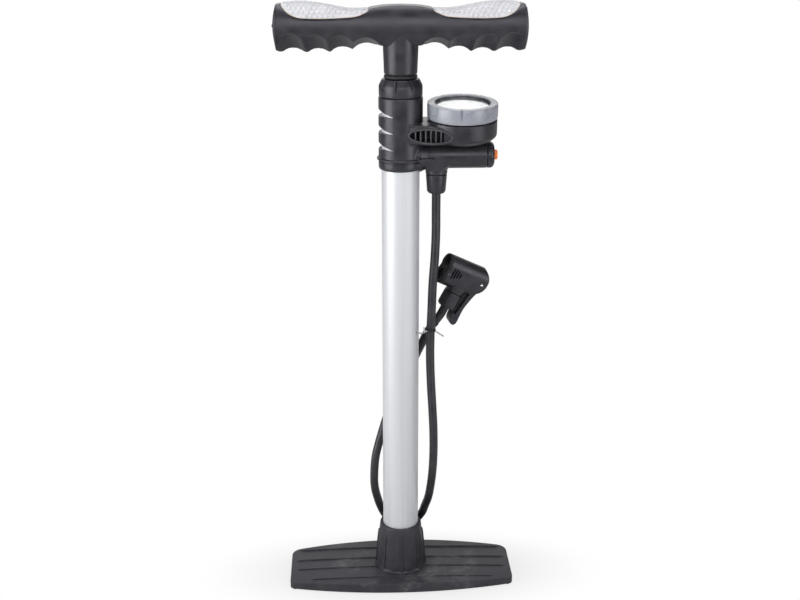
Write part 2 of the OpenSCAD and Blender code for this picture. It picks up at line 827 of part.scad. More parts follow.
module release_button() {
    poppet_x = cross_end_x - end_spigot_h - rest_gap - poppet_h;
    color("orangered") {
        along_cross_tube(button_x) cylinder(r = button_r, h = button_tail_h + button_h);
        along_cross_tube(poppet_x) cylinder(r = stem_valve_r, h = button_x - poppet_x);
    }
}

module release_poppet() {
    color("black") along_cross_tube(cross_end_x - end_spigot_h - rest_gap - poppet_h)
        pipe(poppet_r, stem_valve_r, poppet_h);
}

module release_spring() {
    color("silver") along_cross_tube(button_floor_x)
        coil(button_spring_r, button_spring_wire_r, button_x - button_floor_x, 4);
}

module hose_barb() {
    color("gold") translate([outlet_x, 0, 0]) difference() {
        union() {
            translate([0, 0, hose_nut_z + 2]) cylinder(r = barb_tail_r, h = neck_z - hose_nut_z);
            translate([0, 0, neck_z - barb_flange_h]) cylinder(r = barb_flange_r, h = barb_flange_h);
            translate([0, 0, neck_z]) cylinder(r = barb_bore_r, h = barb_flange_h);
        }
        translate([0, 0, hose_nut_z]) cylinder(r = 1.5, h = 2 * hose_nut_h);
    }
}

module hose_nut() {
    taper = 1;
    color("dimgray") translate([outlet_x, 0, hose_nut_z]) difference() {
        cylinder(r1 = neck_r - taper, r2 = neck_r, h = hose_nut_h);
        translate([0, 0, -OVER]) cylinder(r = barb_tail_r + slip_gap, h = hose_nut_h);
        translate([0, 0, hose_nut_h - barb_flange_h])
            cylinder(r = barb_flange_r + slip_gap, h = barb_flange_h + OVER);
    }
}

module hose() {
    color("black") swept_tube(HOSE_ROUTE, hose_r, hose_sides, [1, 0, 0]);
}

module tie_band(r) {
    for (y = [tie_front_y, tie_back_y]) translate([tie_x, y]) circle(r);
    translate([tie_x - r, tie_front_y]) square([2 * r, tie_back_y - tie_front_y]);
}

module hose_tie() {
    band_r = tie_inner_r + 2 * tie_wire_r;
    front_y = tie_front_y - band_r + tie_wire_r;
    pigtail = [[tie_x, front_y, tie_z], [25, -12, tie_z + 1], [17, -14, tie_z + 2]];
    tail = [[tie_x, front_y, tie_z], [38, -12, tie_z - 2], [45, -12, tie_z - 5]];
    color("silver") {
        translate([0, 0, tie_z - tie_wire_r]) linear_extrude(2 * tie_wire_r) difference() {
            tie_band(band_r);
            tie_band(tie_inner_r);
        }
        swept_tube(pigtail, tie_wire_r, 8, [0, 0, 1]);
        swept_tube(tail, tie_wire_r, 8, [0, 0, 1]);
    }
}

module at_chuck() {
    translate(hose_end) rotate([0, chuck_tilt, 0]) rotate([0, 0, chuck_turn]) children();
}

module along_chuck(x, z) {
    translate([x, 0, z]) rotate(ALONG_X) children();
}

module chuck_nut() {
    edge = 1;
    color("dimgray") at_chuck() {
        cylinder(r1 = chuck_nut_r - edge, r2 = chuck_nut_r, h = edge);
        translate([0, 0, edge]) cylinder(r = chuck_nut_r, h = chuck_nut_h - edge);
    }
}

module chuck_profile() {
    intersection() {
        translate([chuck_start_x, chuck_z]) square([chuck_end_x + chuck_end_r - chuck_start_x, chuck_h]);
        union() {
            translate([chuck_start_x, chuck_z]) square([chuck_end_x - chuck_start_x, chuck_h]);
            translate([chuck_end_x, chuck_z + chuck_h / 2]) circle(chuck_end_r);
        }
    }
}

// A slab with round top and bottom edges, which takes the corners off the chuck
module chuck_section(inset = 0) {
    r = chuck_t / 2;
    low = chuck_z + r;
    high = chuck_z + chuck_h - r;
    for (z = [low, high]) translate([-z, 0]) circle(r - inset);
    translate([-high, -r + inset]) square([high - low, 2 * r - 2 * inset]);
}

module chuck_shell() {
    intersection() {
        rotate(UPRIGHT) linear_extrude(chuck_t, center = true) chuck_profile();
        rotate(ALONG_X) linear_extrude(4 * chuck_h, center = true) chuck_section();
    }
}

module chuck_body() {
    color("dimgray") at_chuck() difference() {
        union() {
            chuck_shell();
            translate([0, 0, chuck_nut_h]) cylinder(r = chuck_nut_r, h = chuck_neck_h + chuck_t / 2);
        }
        for (z = [slim_port_z, wide_port_z])
            along_chuck(chuck_face_x, z) cylinder(r = port_r, h = port_end_x - chuck_face_x + OVER);
        translate([port_end_x, -fork_gap / 2, slim_port_z - port_r])
            cube([yoke_back_x + yoke_room - port_end_x, fork_gap, port_pitch + 2 * port_r]);
        translate([fork_start_x, -fork_gap / 2, chuck_z - OVER])
            cube([chuck_h, fork_gap, fork_roof_z - chuck_z + OVER]);
        translate([pin_x, 0, pin_z]) rotate(UPRIGHT)
            cylinder(r = pin_r + running_gap, h = chuck_t + 2 * OVER, center = true);
        translate([0, 0, chuck_nut_h - OVER]) cylinder(r = 2, h = chuck_neck_h + 8);
    }
}

module chuck_face_plate() {
    hole_r = 5.2;
    color("dimgray") at_chuck() difference() {
        translate([chuck_face_x, 0, 0]) rotate(ALONG_X) linear_extrude(face_plate_t) chuck_section(0.4);
        for (z = [slim_port_z, wide_port_z])
            along_chuck(chuck_face_x - OVER, z) cylinder(r = hole_r, h = face_plate_t + 2 * OVER);
    }
}

module wide_grommet() {
    color("black") at_chuck() along_chuck(grommet_x, wide_port_z)
        pipe(port_r - slip_gap, wide_valve_d / 2, grommet_h);
}

module slim_grommet() {
    color("black") at_chuck() along_chuck(grommet_x, slim_port_z)
        pipe(port_r - slip_gap, slim_valve_d / 2, grommet_h);
}

module plunger_stem(z, bore_d) {
    stem_length = yoke_back_x - yoke_t - plunger_x;
    along_chuck(plunger_x, z) difference() {
        cylinder(r = port_r - running_gap, h = stem_length);
        translate([0, 0, -OVER]) cylinder(d = bore_d + 2 * rest_gap, h = 10 + OVER);
    }
}

module chuck_plunger() {
    yoke_z = slim_port_z - 5;
    yoke_y = fork_gap / 2 - rest_gap;
    color("white") at_chuck() {
        plunger_stem(slim_port_z, slim_valve_d);
        plunger_stem(wide_port_z, wide_valve_d);
        translate([yoke_back_x - yoke_t, -yoke_y, yoke_z])
            cube([yoke_t, 2 * yoke_y, port_pitch + 10]);
    }
}

module lever_pin() {
    color("silver") at_chuck() translate([pin_x, 0, pin_z]) rotate(UPRIGHT)
        cylinder(r = pin_r, h = chuck_t, center = true);
}

module lever_profile() {
    half_w = lever_w / 2;
    run = unit(lever_tip - lever_top);
    across = [run.y, -run.x] * half_w;
    translate([pin_x, pin_z + cam_offset]) circle(cam_r);
    translate(lever_tip) circle(half_w + 0.05);
    polygon([lever_top + across, lever_tip + across, lever_tip - across, lever_top - across]);
}

module chuck_lever() {
    color("dimgray") at_chuck() difference() {
        rotate(UPRIGHT) linear_extrude(fork_gap - 2 * lever_gap, center = true) lever_profile();
        translate([pin_x, 0, pin_z]) rotate(UPRIGHT)
            cylinder(r = pin_r + running_gap, h = chuck_t, center = true);
    }
}

module piston() {
    color("whitesmoke") difference() {
        translate([0, 0, piston_z]) cylinder(r = piston_r, h = piston_h);
        translate([0, 0, piston_z - OVER]) cylinder(r = journal_r + running_gap, h = piston_h + 2 * OVER);
        translate([0, 0, piston_z - OVER]) cylinder(r = rod_nut_pocket_r, h = rod_nut_pocket_h + OVER);
        translate([0, 0, piston_z + 2 * piston_h / 3])
            ring_groove(
                cylinder_bore_r - 2 * piston_ring_r - slip_gap,
                cylinder_bore_r + OVER,
                piston_ring_r
            );
    }
}

module piston_ring() {
    color("black") translate([0, 0, piston_z + 2 * piston_h / 3])
        ring(cylinder_bore_r - piston_ring_r - running_gap, piston_ring_r);
}

module rod_nut() {
    color("silver") translate([0, 0, piston_z + rod_nut_pocket_h - rest_gap - rod_nut_h]) difference() {
        hexagon(rod_nut_af, rod_nut_h);
        translate([0, 0, -OVER]) cylinder(r = journal_r + running_gap, h = rod_nut_h + 2 * OVER);
    }
}

module piston_rod() {
    shoulder_z = piston_top_z + rest_gap;
    color("silver") {
        translate([0, 0, shoulder_z]) cylinder(r = rod_r, h = rod_top_z - shoulder_z);
        translate([0, 0, piston_z + rest_gap]) cylinder(r = journal_r, h = piston_h);
    }
}

module handle_insert() {
    color("gold") translate([0, 0, rod_top_z - insert_h])
        pipe(insert_r, rod_r + running_gap, insert_h);
}

// Underside of the bar before the finger hollows, at a distance from the middle
function bar_under_z(x) = bar_z + lookup(x, BAR_UNDERSIDE);

module bar_half_profile() {
    polygon([
        [-OVER, bar_under_z(0)],
        for (p = BAR_UNDERSIDE) [p.x, bar_z + p.y],
        [handle_half_length, bar_z + 8],
        [handle_half_length, bar_top_z - 7],
        [handle_half_length - end_round, bar_top_z],
        [grip_end_x, bar_top_z],
        [grip_end_x, grip_floor_z],
        [grip_x, grip_floor_z],
        [grip_x, bar_mid_top_z - 3],
        [12, bar_mid_top_z],
        [-OVER, bar_mid_top_z]
    ]);
}

module finger_hollows() {
    for (i = [0:finger_count - 1]) {
        x = finger_first_x + i * finger_pitch;
        translate([x, bar_under_z(x) + finger_depth - finger_r]) circle(finger_r);
    }
}

module both_sides() {
    children();
    mirror([1, 0, 0]) children();
}

// A rounded slab around the X axis, which takes the edges off the bar
module bar_envelope() {
    inner_y = handle_depth / 2 - bar_round;
    rotate([90, 0, 90]) linear_extrude(2 * handle_half_length + 2 * OVER, center = true) {
        translate([-inner_y, bar_z]) square([2 * inner_y, handle_h + 2]);
        translate([-handle_depth / 2, bar_z + bar_round])
            square([handle_depth, handle_h + 2 - 2 * bar_round]);
        for (y = [-inner_y, inner_y], z = [bar_z + bar_round, bar_z + handle_h + 2 - bar_round])
            translate([y, z]) circle(bar_round);
    }
}

module handle_body() {
    color("dimgray") difference() {
        union() {
            intersection() {
                rotate(UPRIGHT) linear_extrude(handle_depth, center = true) both_sides() difference() {
                    bar_half_profile();
                    finger_hollows();
                }
                bar_envelope();
            }
            translate([0, 0, stem_z]) cylinder(r1 = stem_r - 0.6, r2 = stem_r + 0.6, h = stem_h);
        }
        translate([0, 0, stem_z - OVER])
            cylinder(r = rod_r + slip_gap, h = rod_top_z + rest_gap - stem_z + OVER);
        translate([0, 0, rod_top_z - insert_h])
            cylinder(r = insert_r + slip_gap, h = insert_h + rest_gap);
    }
}

module grip() {
    intersection() {
        rotate(UPRIGHT) linear_extrude(2 * grip_half_depth, center = true) polygon([
            [grip_x + slip_gap, grip_floor_z],
            [grip_end_x - slip_gap, grip_floor_z],
            [grip_end_x - slip_gap, bar_top_z],
            [grip_x + 62, bar_top_z + 2],
            [grip_x + 15, bar_top_z - 4.4],
            [grip_x + slip_gap, bar_top_z - 5]
        ]);
        bar_envelope();
    }
}

module grip_left() {
    color("whitesmoke") mirror([1, 0, 0]) grip();
}

module grip_right() {
    color("whitesmoke") grip();
}

module bumper_ring() {
    color("black") translate([0, 0, cap_top_z + rest_gap])
        pipe(stem_r + rest_gap, rod_r + slip_gap, bumper_h - rest_gap);
}

foot_plate();
rubber_pads();
foot_bolt();
foot_washer();
bottom_plug();
check_seat();
check_ball();
check_spring();
plug_rings();
barrel();
pressure_cylinder();
top_plug();
rod_bush();
clamp_sleeve();
head_housing();
head_rings();
barrel_cap();
rod_wiper();
gauge_movement();
gauge_nipple();
gauge_dial();
gauge_spacer();
gauge_lens();
gauge_bezel();
gauge_needle();
release_end_cap();
release_button();
release_poppet();
release_spring();
hose_barb();
hose_nut();
hose();
hose_tie();
chuck_nut();
chuck_body();
chuck_face_plate();
wide_grommet();
slim_grommet();
chuck_plunger();
lever_pin();
chuck_lever();
piston();
piston_ring();
rod_nut();
piston_rod();
handle_insert();
handle_body();
grip_left();
grip_right();
bumper_ring();
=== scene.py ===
"""Floor pump for bicycle tyres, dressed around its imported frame.

Shapes are drawn in millimetres and become metres when a piece is finished. +Z is up, +X is the
gauge side and -Y is the front.
"""

import json
import logging
import math
from dataclasses import dataclass, field
from enum import Enum
from typing import Callable, Iterable, Sequence

import bmesh
import bpy
from bmesh.types import BMesh, BMVert
from mathutils import Matrix, Vector
from mathutils.bvhtree import BVHTree
from mathutils.geometry import interpolate_bezier


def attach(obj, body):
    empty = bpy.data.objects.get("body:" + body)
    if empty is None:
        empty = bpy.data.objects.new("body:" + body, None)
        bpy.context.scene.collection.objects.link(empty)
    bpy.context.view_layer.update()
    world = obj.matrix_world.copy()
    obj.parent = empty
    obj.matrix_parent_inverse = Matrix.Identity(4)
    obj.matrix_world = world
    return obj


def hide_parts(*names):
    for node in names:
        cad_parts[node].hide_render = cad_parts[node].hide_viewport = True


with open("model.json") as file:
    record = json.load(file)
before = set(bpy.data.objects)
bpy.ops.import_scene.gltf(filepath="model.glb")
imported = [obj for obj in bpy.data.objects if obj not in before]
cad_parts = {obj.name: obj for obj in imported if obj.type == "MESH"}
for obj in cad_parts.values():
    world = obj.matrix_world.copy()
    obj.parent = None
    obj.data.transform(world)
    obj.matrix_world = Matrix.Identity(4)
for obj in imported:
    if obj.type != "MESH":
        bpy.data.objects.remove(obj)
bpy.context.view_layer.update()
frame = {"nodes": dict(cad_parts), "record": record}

LOG = logging.getLogger("floor_pump")

MM = 0.001
ROUND_STEPS = 4
PUMP, HANDLE = "pump_body", "handle"
# The cross tube's height, and the places of the hose outlet and the gauge along it
CROSS_Z, OUTLET_X, GAUGE_X = 474.0, 36.0, 61.0
# The gauge's lean to the front, in degrees
GAUGE_LEAN = 4.5
# Where the lamps point, in metres
LAMP_AIM = (0.0, 0.0, 0.35)
# Mouldings: the blue tint of their gloss, which is a painted bluish light in every reflection on them; the
# unevenness of their gloss; and how rubbing pales and dulls them
PAINTED_BLUE_SHEEN, UNEVEN = (0.93, 0.915, 1.0, 1.0), 0.05
RUB_PALE, RUB_DULL = 0.22, 0.3
GRAIN_STRENGTH, SCATTER_DEPTH = 0.35, 0.002
# Metal: the shade of its drawn lines, and their depth in millimetres
LINE_SHADE, LINE_DEPTH = 0.93, 0.03

Corner = Sequence[float]
Color = tuple[float, float, float]


class Plane(Enum):
    """The plane of an outline: its two axes, and the axis of its thickness."""

    XY = (0, 1, 2)
    XZ = (0, 2, 1)
    YZ = (1, 2, 0)


class Operation(Enum):
    """A way to combine two solids."""

    CUT = "DIFFERENCE"
    MEET = "INTERSECT"
    UNITE = "UNION"


class Lie(Enum):
    """The direction that an upright shape is laid along."""

    UP = (0.0, "Z")
    TO_X = (math.pi / 2, "Y")
    TO_Y = (-math.pi / 2, "X")

    def matrix(self) -> Matrix:
        """Returns the turn that takes +Z to this direction."""
        angle, axis = self.value
        return Matrix.Rotation(angle, 4, axis)


def flowing(points: Sequence[Corner], steps: int) -> list[tuple[float, float]]:
    """Draws a smooth line through points.

    Args:
        points: The (u, v) points that the line passes.
        steps: The number of stretches between two points.

    Returns:
        The points of the line, with the given ones among them.
    """
    path = [Vector((p[0], p[1], 0)) for p in points]
    last = len(path) - 1
    line: list[tuple[float, float]] = []
    for i in range(last):
        before, after = path[max(i - 1, 0)], path[min(i + 2, last)]
        reach = (path[i + 1] - path[i]).length / 3
        lead = (path[i + 1] - before).normalized() * reach
        trail = (after - path[i]).normalized() * reach
        bend = interpolate_bezier(path[i], path[i] + lead, path[i + 1] - trail, path[i + 1], steps + 1)
        line += [(p.x, p.y) for p in bend[:-1]]
    return line + [(path[last].x, path[last].y)]


def ellipse(center: Corner, half_u: float, half_v: float, count: int) -> list[tuple[float, float]]:
    """Returns the corners of an ellipse around a (u, v) centre."""
    turns = (2 * math.pi * i / count for i in range(count))
    return [(center[0] + half_u * math.cos(a), center[1] + half_v * math.sin(a)) for a in turns]


def arc(center: Corner, r: float, first: float, last: float, count: int) -> list[tuple[float, float]]:
    """Returns points along an arc around a (u, v) centre, between two angles in radians."""
    turns = (first + (last - first) * i / count for i in range(count + 1))
    return [(center[0] + r * math.cos(a), center[1] + r * math.sin(a)) for a in turns]


def linked(name: str, data: bpy.types.ID) -> bpy.types.Object:
    """Returns a new object for some data, linked to the scene."""
    obj = bpy.data.objects.new(name, data)
    bpy.context.scene.collection.objects.link(obj)
    return obj


def evaluated(obj: bpy.types.Object) -> bpy.types.Mesh:
    """Returns an object's mesh with its modifiers applied, and removes the object."""
    mesh = bpy.data.meshes.new_from_object(obj.evaluated_get(bpy.context.evaluated_depsgraph_get()))
    bpy.data.objects.remove(obj)
    return mesh


class Shape:
    """A solid in millimetres that bmesh operators shape step by step."""

    def __init__(self) -> None:
        """Starts from an empty mesh."""
        self.bm: BMesh = bmesh.new()

    def _wire(self, corners: Sequence[Vector], rounds: Sequence[float], closed: bool) -> None:
        """Draws a line of edges and rounds its corners.

        Args:
            corners: The places of the corners.
            rounds: The setback of each corner's round, or 0 for a sharp one.
            closed: Whether the last corner joins the first.
        """
        verts = [self.bm.verts.new(c) for c in corners]
        for a, b in zip(verts, verts[1:] + (verts[:1] if closed else [])):
            self.bm.edges.new((a, b))
        for vert, setback in zip(verts, rounds):
            if setback:
                bmesh.ops.bevel(
                    self.bm, geom=[vert], offset=setback, offset_type="OFFSET", segments=ROUND_STEPS,
                    profile=0.5, affect="VERTICES", material=-1,
                )

    def _clean(self) -> "Shape":
        """Merges doubles and points the faces outwards."""
        bmesh.ops.remove_doubles(self.bm, verts=self.bm.verts[:], dist=1e-4)
        bmesh.ops.dissolve_degenerate(self.bm, dist=1e-5, edges=self.bm.edges[:])
        bmesh.ops.recalc_face_normals(self.bm, faces=self.bm.faces[:])
        return self

    @classmethod
    def lathe(cls, profile: Sequence[Corner], steps: int, closed: bool = True) -> "Shape":
        """Spins a profile around Z.

        Args:
            profile: Corners as (radius, height), or (radius, height, round).
            steps: The number of facets around.
            closed: False where the profile starts and ends on the axis.

        Returns:
            The turned solid.
        """
        shape = cls()
        rounds = [c[2] if len(c) > 2 else 0.0 for c in profile]
        shape._wire([Vector((c[0], 0, c[1])) for c in profile], rounds, closed)
        bmesh.ops.spin(
            shape.bm, geom=shape.bm.verts[:] + shape.bm.edges[:], cent=(0, 0, 0), axis=(0, 0, 1),
            angle=2 * math.pi, steps=steps, use_merge=True, use_duplicate=False,
        )
        return shape._clean()

    @classmethod
    def prism(cls, outline: Sequence[Corner], plane: Plane, low: float, high: float) -> "Shape":
        """Extrudes an outline square to its plane.

        Args:
            outline: Corners as (u, v), or (u, v, round).
            plane: The plane that the outline is drawn in.
            low: Where the solid starts on the third axis.
            high: Where it ends.

        Returns:
            The extruded solid.
        """
        shape = cls()
        u, v, w = plane.value
        corners = []
        for corner in outline:
            place = Vector((0, 0, 0))
            place[u], place[v], place[w] = corner[0], corner[1], low
            corners.append(place)
        shape._wire(corners, [c[2] if len(c) > 2 else 0.0 for c in outline], True)
        faces = bmesh.ops.contextual_create(shape.bm, geom=shape.bm.edges[:])["faces"]
        grown = bmesh.ops.extrude_face_region(shape.bm, geom=faces)["geom"]
        rise = Vector((0, 0, 0))
        rise[w] = high - low
        bmesh.ops.translate(shape.bm, verts=[g for g in grown if isinstance(g, BMVert)], vec=rise)
        return shape._clean()

    @classmethod
    def block(cls, low: Corner, high: Corner) -> "Shape":
        """Returns a block between two corners."""
        shape = cls()
        a, b = Vector(low), Vector(high)
        size = Matrix.Diagonal((b - a).to_4d())
        size[3][3] = 1
        bmesh.ops.create_cube(shape.bm, size=1, matrix=Matrix.Translation((a + b) / 2) @ size)
        return shape

    @classmethod
    def rod(
        cls, start: Corner, end: Corner, r1: float, r2: float | None = None, sides: int = 48
    ) -> "Shape":
        """Returns a straight or tapered rod between two points."""
        shape = cls()
        a, b = Vector(start), Vector(end)
        turn = (b - a).to_track_quat("Z", "Y").to_matrix().to_4x4()
        bmesh.ops.create_cone(
            shape.bm, cap_ends=True, segments=sides, radius1=r1, radius2=r1 if r2 is None else r2,
            depth=(b - a).length, matrix=Matrix.Translation((a + b) / 2) @ turn,
        )
        return shape

    @classmethod
    def hull(cls, *points: Corner) -> "Shape":
        """Returns the smallest convex solid around points."""
        shape = cls()
        bmesh.ops.convex_hull(shape.bm, input=[shape.bm.verts.new(p) for p in points])
        return shape._clean()

    def mesh(self) -> bpy.types.Mesh:
        """Returns the shape as a new mesh, in millimetres."""
        mesh = bpy.data.meshes.new("shape")
        self.bm.to_mesh(mesh)
        return mesh

    def _trial(self) -> bpy.types.Object:
        """Returns a passing object that modifiers can work on."""
        return linked("trial", self.mesh())

    def take(self, mesh: bpy.types.Mesh) -> "Shape":
        """Takes over a mesh in place of the present one."""
        self.bm.clear()
        self.bm.from_mesh(mesh)
        bpy.data.meshes.remove(mesh)
        return self

    def combine(self, other: "Shape", how: Operation) -> "Shape":
        """Combines this solid with another.

        Args:
            other: The second solid, which stays as it is.
            how: Cut, meet or unite.

        Returns:
            This shape.
        """
        mine, theirs = self._trial(), other._trial()
        modifier = mine.modifiers.new("combine", "BOOLEAN")
        modifier.operation, modifier.object, modifier.solver = how.value, theirs, "EXACT"
        mesh = evaluated(mine)
        bpy.data.objects.remove(theirs)
        return self.take(mesh)

    def cut(self, *others: "Shape") -> "Shape":
        """Cuts other solids out of this one."""
        for other in others:
            self.combine(other, Operation.CUT)
        return self

    def meet(self, other: "Shape") -> "Shape":
        """Keeps what this solid shares with another."""
        return self.combine(other, Operation.MEET)

    def unite(self, *others: "Shape") -> "Shape":
        """Unites other solids with this one."""
        for other in others:
            self.combine(other, Operation.UNITE)
        return self

    def gather(self, *others: "Shape") -> "Shape":
        """Adds other solids' meshes to this one's."""
        for other in others:
            mesh = other.mesh()
            self.bm.from_mesh(mesh)
            bpy.data.meshes.remove(mesh)
        return self

    def fuse(self, voxel: float, softening: int) -> "Shape":
        """Fuses overlapping solids into one skin with soft edges and fillets.

        Args:
            voxel: The size of the new skin's faces.
            softening: The number of smoothing passes.

        Returns:
            This shape.
        """
        obj = self._trial()
        remesh = obj.modifiers.new("fuse", "REMESH")
        remesh.mode, remesh.voxel_size = "VOXEL", voxel
        soften = obj.modifiers.new("soften", "SMOOTH")
        soften.iterations, soften.factor = softening, 0.5
        return self.take(evaluated(obj))

    def bevel(self, width: float, segments: int, angle: float) -> "Shape":
        """Rounds the edges that turn by more than an angle in degrees."""
        limit = math.radians(angle)
        edges = [e for e in self.bm.edges if len(e.link_faces) == 2 and e.calc_face_angle() > limit]
        bmesh.ops.bevel(
            self.bm, geom=edges, offset=width, offset_type="OFFSET", segments=segments, profile=0.5,
            affect="EDGES", clamp_overlap=True, material=-1,
        )
        return self

    def move(self, matrix: Matrix) -> "Shape":
        """Moves the whole shape by a matrix."""
        bmesh.ops.transform(self.bm, matrix=matrix, verts=self.bm.verts[:])
        return self

    def at(self, x: float, y: float, z: float, lie: Lie = Lie.UP) -> "Shape":
        """Lays the shape along a direction and moves it to a place."""
        return self.move(Matrix.Translation((x, y, z)) @ lie.matrix())

    def copy(self) -> "Shape":
        """Returns a second shape like this one."""
        return Shape().gather(self)

    def mirrored(self, axis: int) -> "Shape":
        """Returns a copy mirrored along an axis: 0 for X, 1 for Y, 2 for Z."""
        flip = Matrix.Identity(4)
        flip[axis][axis] = -1
        return self.copy().move(flip)._clean()

    def around(self, count: int, start: float) -> list["Shape"]:
        """Returns copies turned evenly around Z, the first one by start degrees."""
        step = 2 * math.pi / count
        turns = (math.radians(start) + i * step for i in range(count))
        return [self.copy().move(Matrix.Rotation(a, 4, "Z")) for a in turns]


class Graph:
    """Adds and links shader nodes in one tree."""

    def __init__(self, tree: bpy.types.NodeTree) -> None:
        """Starts with an empty tree."""
        self.tree = tree
        tree.nodes.clear()

    def add(
        self, kind: str, inputs: dict[str | int, object] | None = None, **settings: object
    ) -> bpy.types.Node:
        """Adds a node.

        Args:
            kind: The node's type, without its ShaderNode prefix where it has one.
            inputs: Sockets to link or constants to set, by the input's name or number.
            settings: The node's own settings.

        Returns:
            The new node.
        """
        node = self.tree.nodes.new(kind if kind.startswith("NodeGroup") else "ShaderNode" + kind)
        for key, value in settings.items():
            setattr(node, key, value)
        for key, value in (inputs or {}).items():
            if isinstance(value, bpy.types.NodeSocket):
                self.tree.links.new(value, node.inputs[key])
            else:
                node.inputs[key].default_value = value
        return node

    def math(self, operation: str, a: object, b: object = 0.0) -> bpy.types.NodeSocket:
        """Adds a clamped calculation with two values and returns its result."""
        return self.add("Math", {0: a, 1: b}, operation=operation, use_clamp=True).outputs[0]

    def span(
        self, value: bpy.types.NodeSocket, low: float, high: float, to: Corner = (0, 1)
    ) -> bpy.types.NodeSocket:
        """Maps a value's span onto another span, smoothly, and returns the result."""
        node = self.add(
            "MapRange", {0: value, 1: low, 2: high, 3: to[0], 4: to[1]}, interpolation_type="SMOOTHSTEP"
        )
        return node.outputs[0]

    def blend(self, factor: object, a: object, b: object) -> bpy.types.NodeSocket:
        """Adds a mix of two colours and returns its result."""
        return self.add("Mix", {0: factor, 6: a, 7: b}, data_type="RGBA").outputs[2]


def node_graph(owner: bpy.types.Material | bpy.types.World) -> Graph:
    """Returns the empty node tree of a material or a world."""
    owner.use_nodes = True
    return Graph(owner.node_tree)


Sockets = dict[str, bpy.types.NodeSocket]


def shader_group(
    name: str,
    inputs: dict[str, float | None],
    outputs: Sequence[str],
    draw: Callable[[Graph, Sockets], Sockets],
) -> bpy.types.NodeTree:
    """Makes a shader node group.

    Args:
        name: The group's name.
        inputs: Each input's name with its first value, or None for a vector.
        outputs: The names of its float outputs.
        draw: Draws the group's inside from its inputs, and returns what goes to its outputs.

    Returns:
        The node group.
    """
    tree = bpy.data.node_groups.new(name, "ShaderNodeTree")
    for socket, value in inputs.items():
        kind = "NodeSocketVector" if value is None else "NodeSocketFloat"
        item = tree.interface.new_socket(socket, in_out="INPUT", socket_type=kind)
        if value is not None:
            item.default_value = value
    for socket in outputs:
        tree.interface.new_socket(socket, in_out="OUTPUT", socket_type="NodeSocketFloat")
    g = Graph(tree)
    g.add("NodeGroupOutput", draw(g, g.add("NodeGroupInput").outputs))
    return tree


def draw_grain(g: Graph, given: Sockets) -> Sockets:
    """Draws a mould's fine texture, and a slow change of tone."""
    place = given["Vector"]
    fine = g.add("TexNoise", {"Vector": place, "Scale": given["Grain"], "Detail": 3.0})
    cells = g.add("TexVoronoi", {"Vector": place, "Scale": given["Grain"]})
    slow = g.add("TexNoise", {"Vector": place, "Scale": given["Tone"], "Detail": 5.0, "Roughness": 0.6})
    pits = g.span(cells.outputs["Distance"], 0.0, 0.7, (0.55, 1))
    return {
        "Height": g.math("MULTIPLY", fine.outputs[0], pits),
        "Tone": g.span(slow.outputs[0], 0.3, 0.7),
    }


def draw_rubs(g: Graph, given: Sockets) -> Sockets:
    """Draws dry rub marks and thin scratches that come in patches."""
    place = given["Vector"]
    patch = g.add("TexNoise", {"Vector": place, "Scale": given["Patch"], "Detail": 3.0})
    drawn = g.add("Mapping", {"Vector": place, "Scale": (1.0, 3.4, 1.6), "Rotation": (0.2, 0.1, 0.35)})
    thin = g.add("TexNoise", {
        "Vector": drawn.outputs[0], "Scale": given["Streak"], "Detail": 6.0, "Roughness": 0.7,
    })
    patches, scratches = g.span(patch.outputs[0], 0.48, 0.75), g.span(thin.outputs[0], 0.35, 0.8)
    return {"Mask": g.math("MULTIPLY", patches, scratches)}


def draw_streaks(g: Graph, given: Sockets) -> Sockets:
    """Draws the fine drawn lines of metal, along the vector's stretched axis."""
    place = given["Vector"]
    lines = g.add("TexNoise", {"Vector": place, "Scale": given["Lines"], "Detail": 4.0, "Roughness": 0.65})
    cloud = g.add("TexNoise", {"Vector": place, "Scale": given["Cloud"], "Detail": 3.0})
    return {"Lines": g.span(lines.outputs[0], 0.3, 0.7), "Cloud": g.span(cloud.outputs[0], 0.3, 0.7)}


GRAIN = shader_group(
    "mould_grain", {"Vector": None, "Grain": 2200, "Tone": 70}, ("Height", "Tone"), draw_grain
)
RUBS = shader_group("rub_marks", {"Vector": None, "Patch": 40, "Streak": 170}, ("Mask",), draw_rubs)
STREAKS = shader_group(
    "drawn_lines", {"Vector": None, "Lines": 900, "Cloud": 30}, ("Lines", "Cloud"), draw_streaks
)


@dataclass(frozen=True)
class Finish:
    """What every finish has: the record's slot that it stands for, and its name."""

    slot: str
    name: str

    def material(self) -> bpy.types.Material:
        """Returns the finish's material, made at its first use."""
        made = bpy.data.materials.get(self.name)
        if made is None:
            made = bpy.data.materials.new(self.name)
            graph = node_graph(made)
            graph.add("OutputMaterial", {"Surface": self.shade(graph).outputs[0]})
        return made

    def shade(self, g: Graph) -> bpy.types.Node:
        """Draws the finish and returns its shader node."""
        raise NotImplementedError

    @staticmethod
    def bump(g: Graph, height: bpy.types.NodeSocket, strength: float, depth: float) -> bpy.types.NodeSocket:
        """Adds a bump of a depth in millimetres and returns its normal."""
        return g.add("Bump", {"Height": height, "Strength": strength, "Distance": depth * MM}).outputs[0]


def lighter(color: Color, share: float) -> tuple[float, float, float, float]:
    """Returns a colour taken a share of the way to white, with alpha."""
    return tuple(c + (1 - c) * share for c in color) + (1.0,)


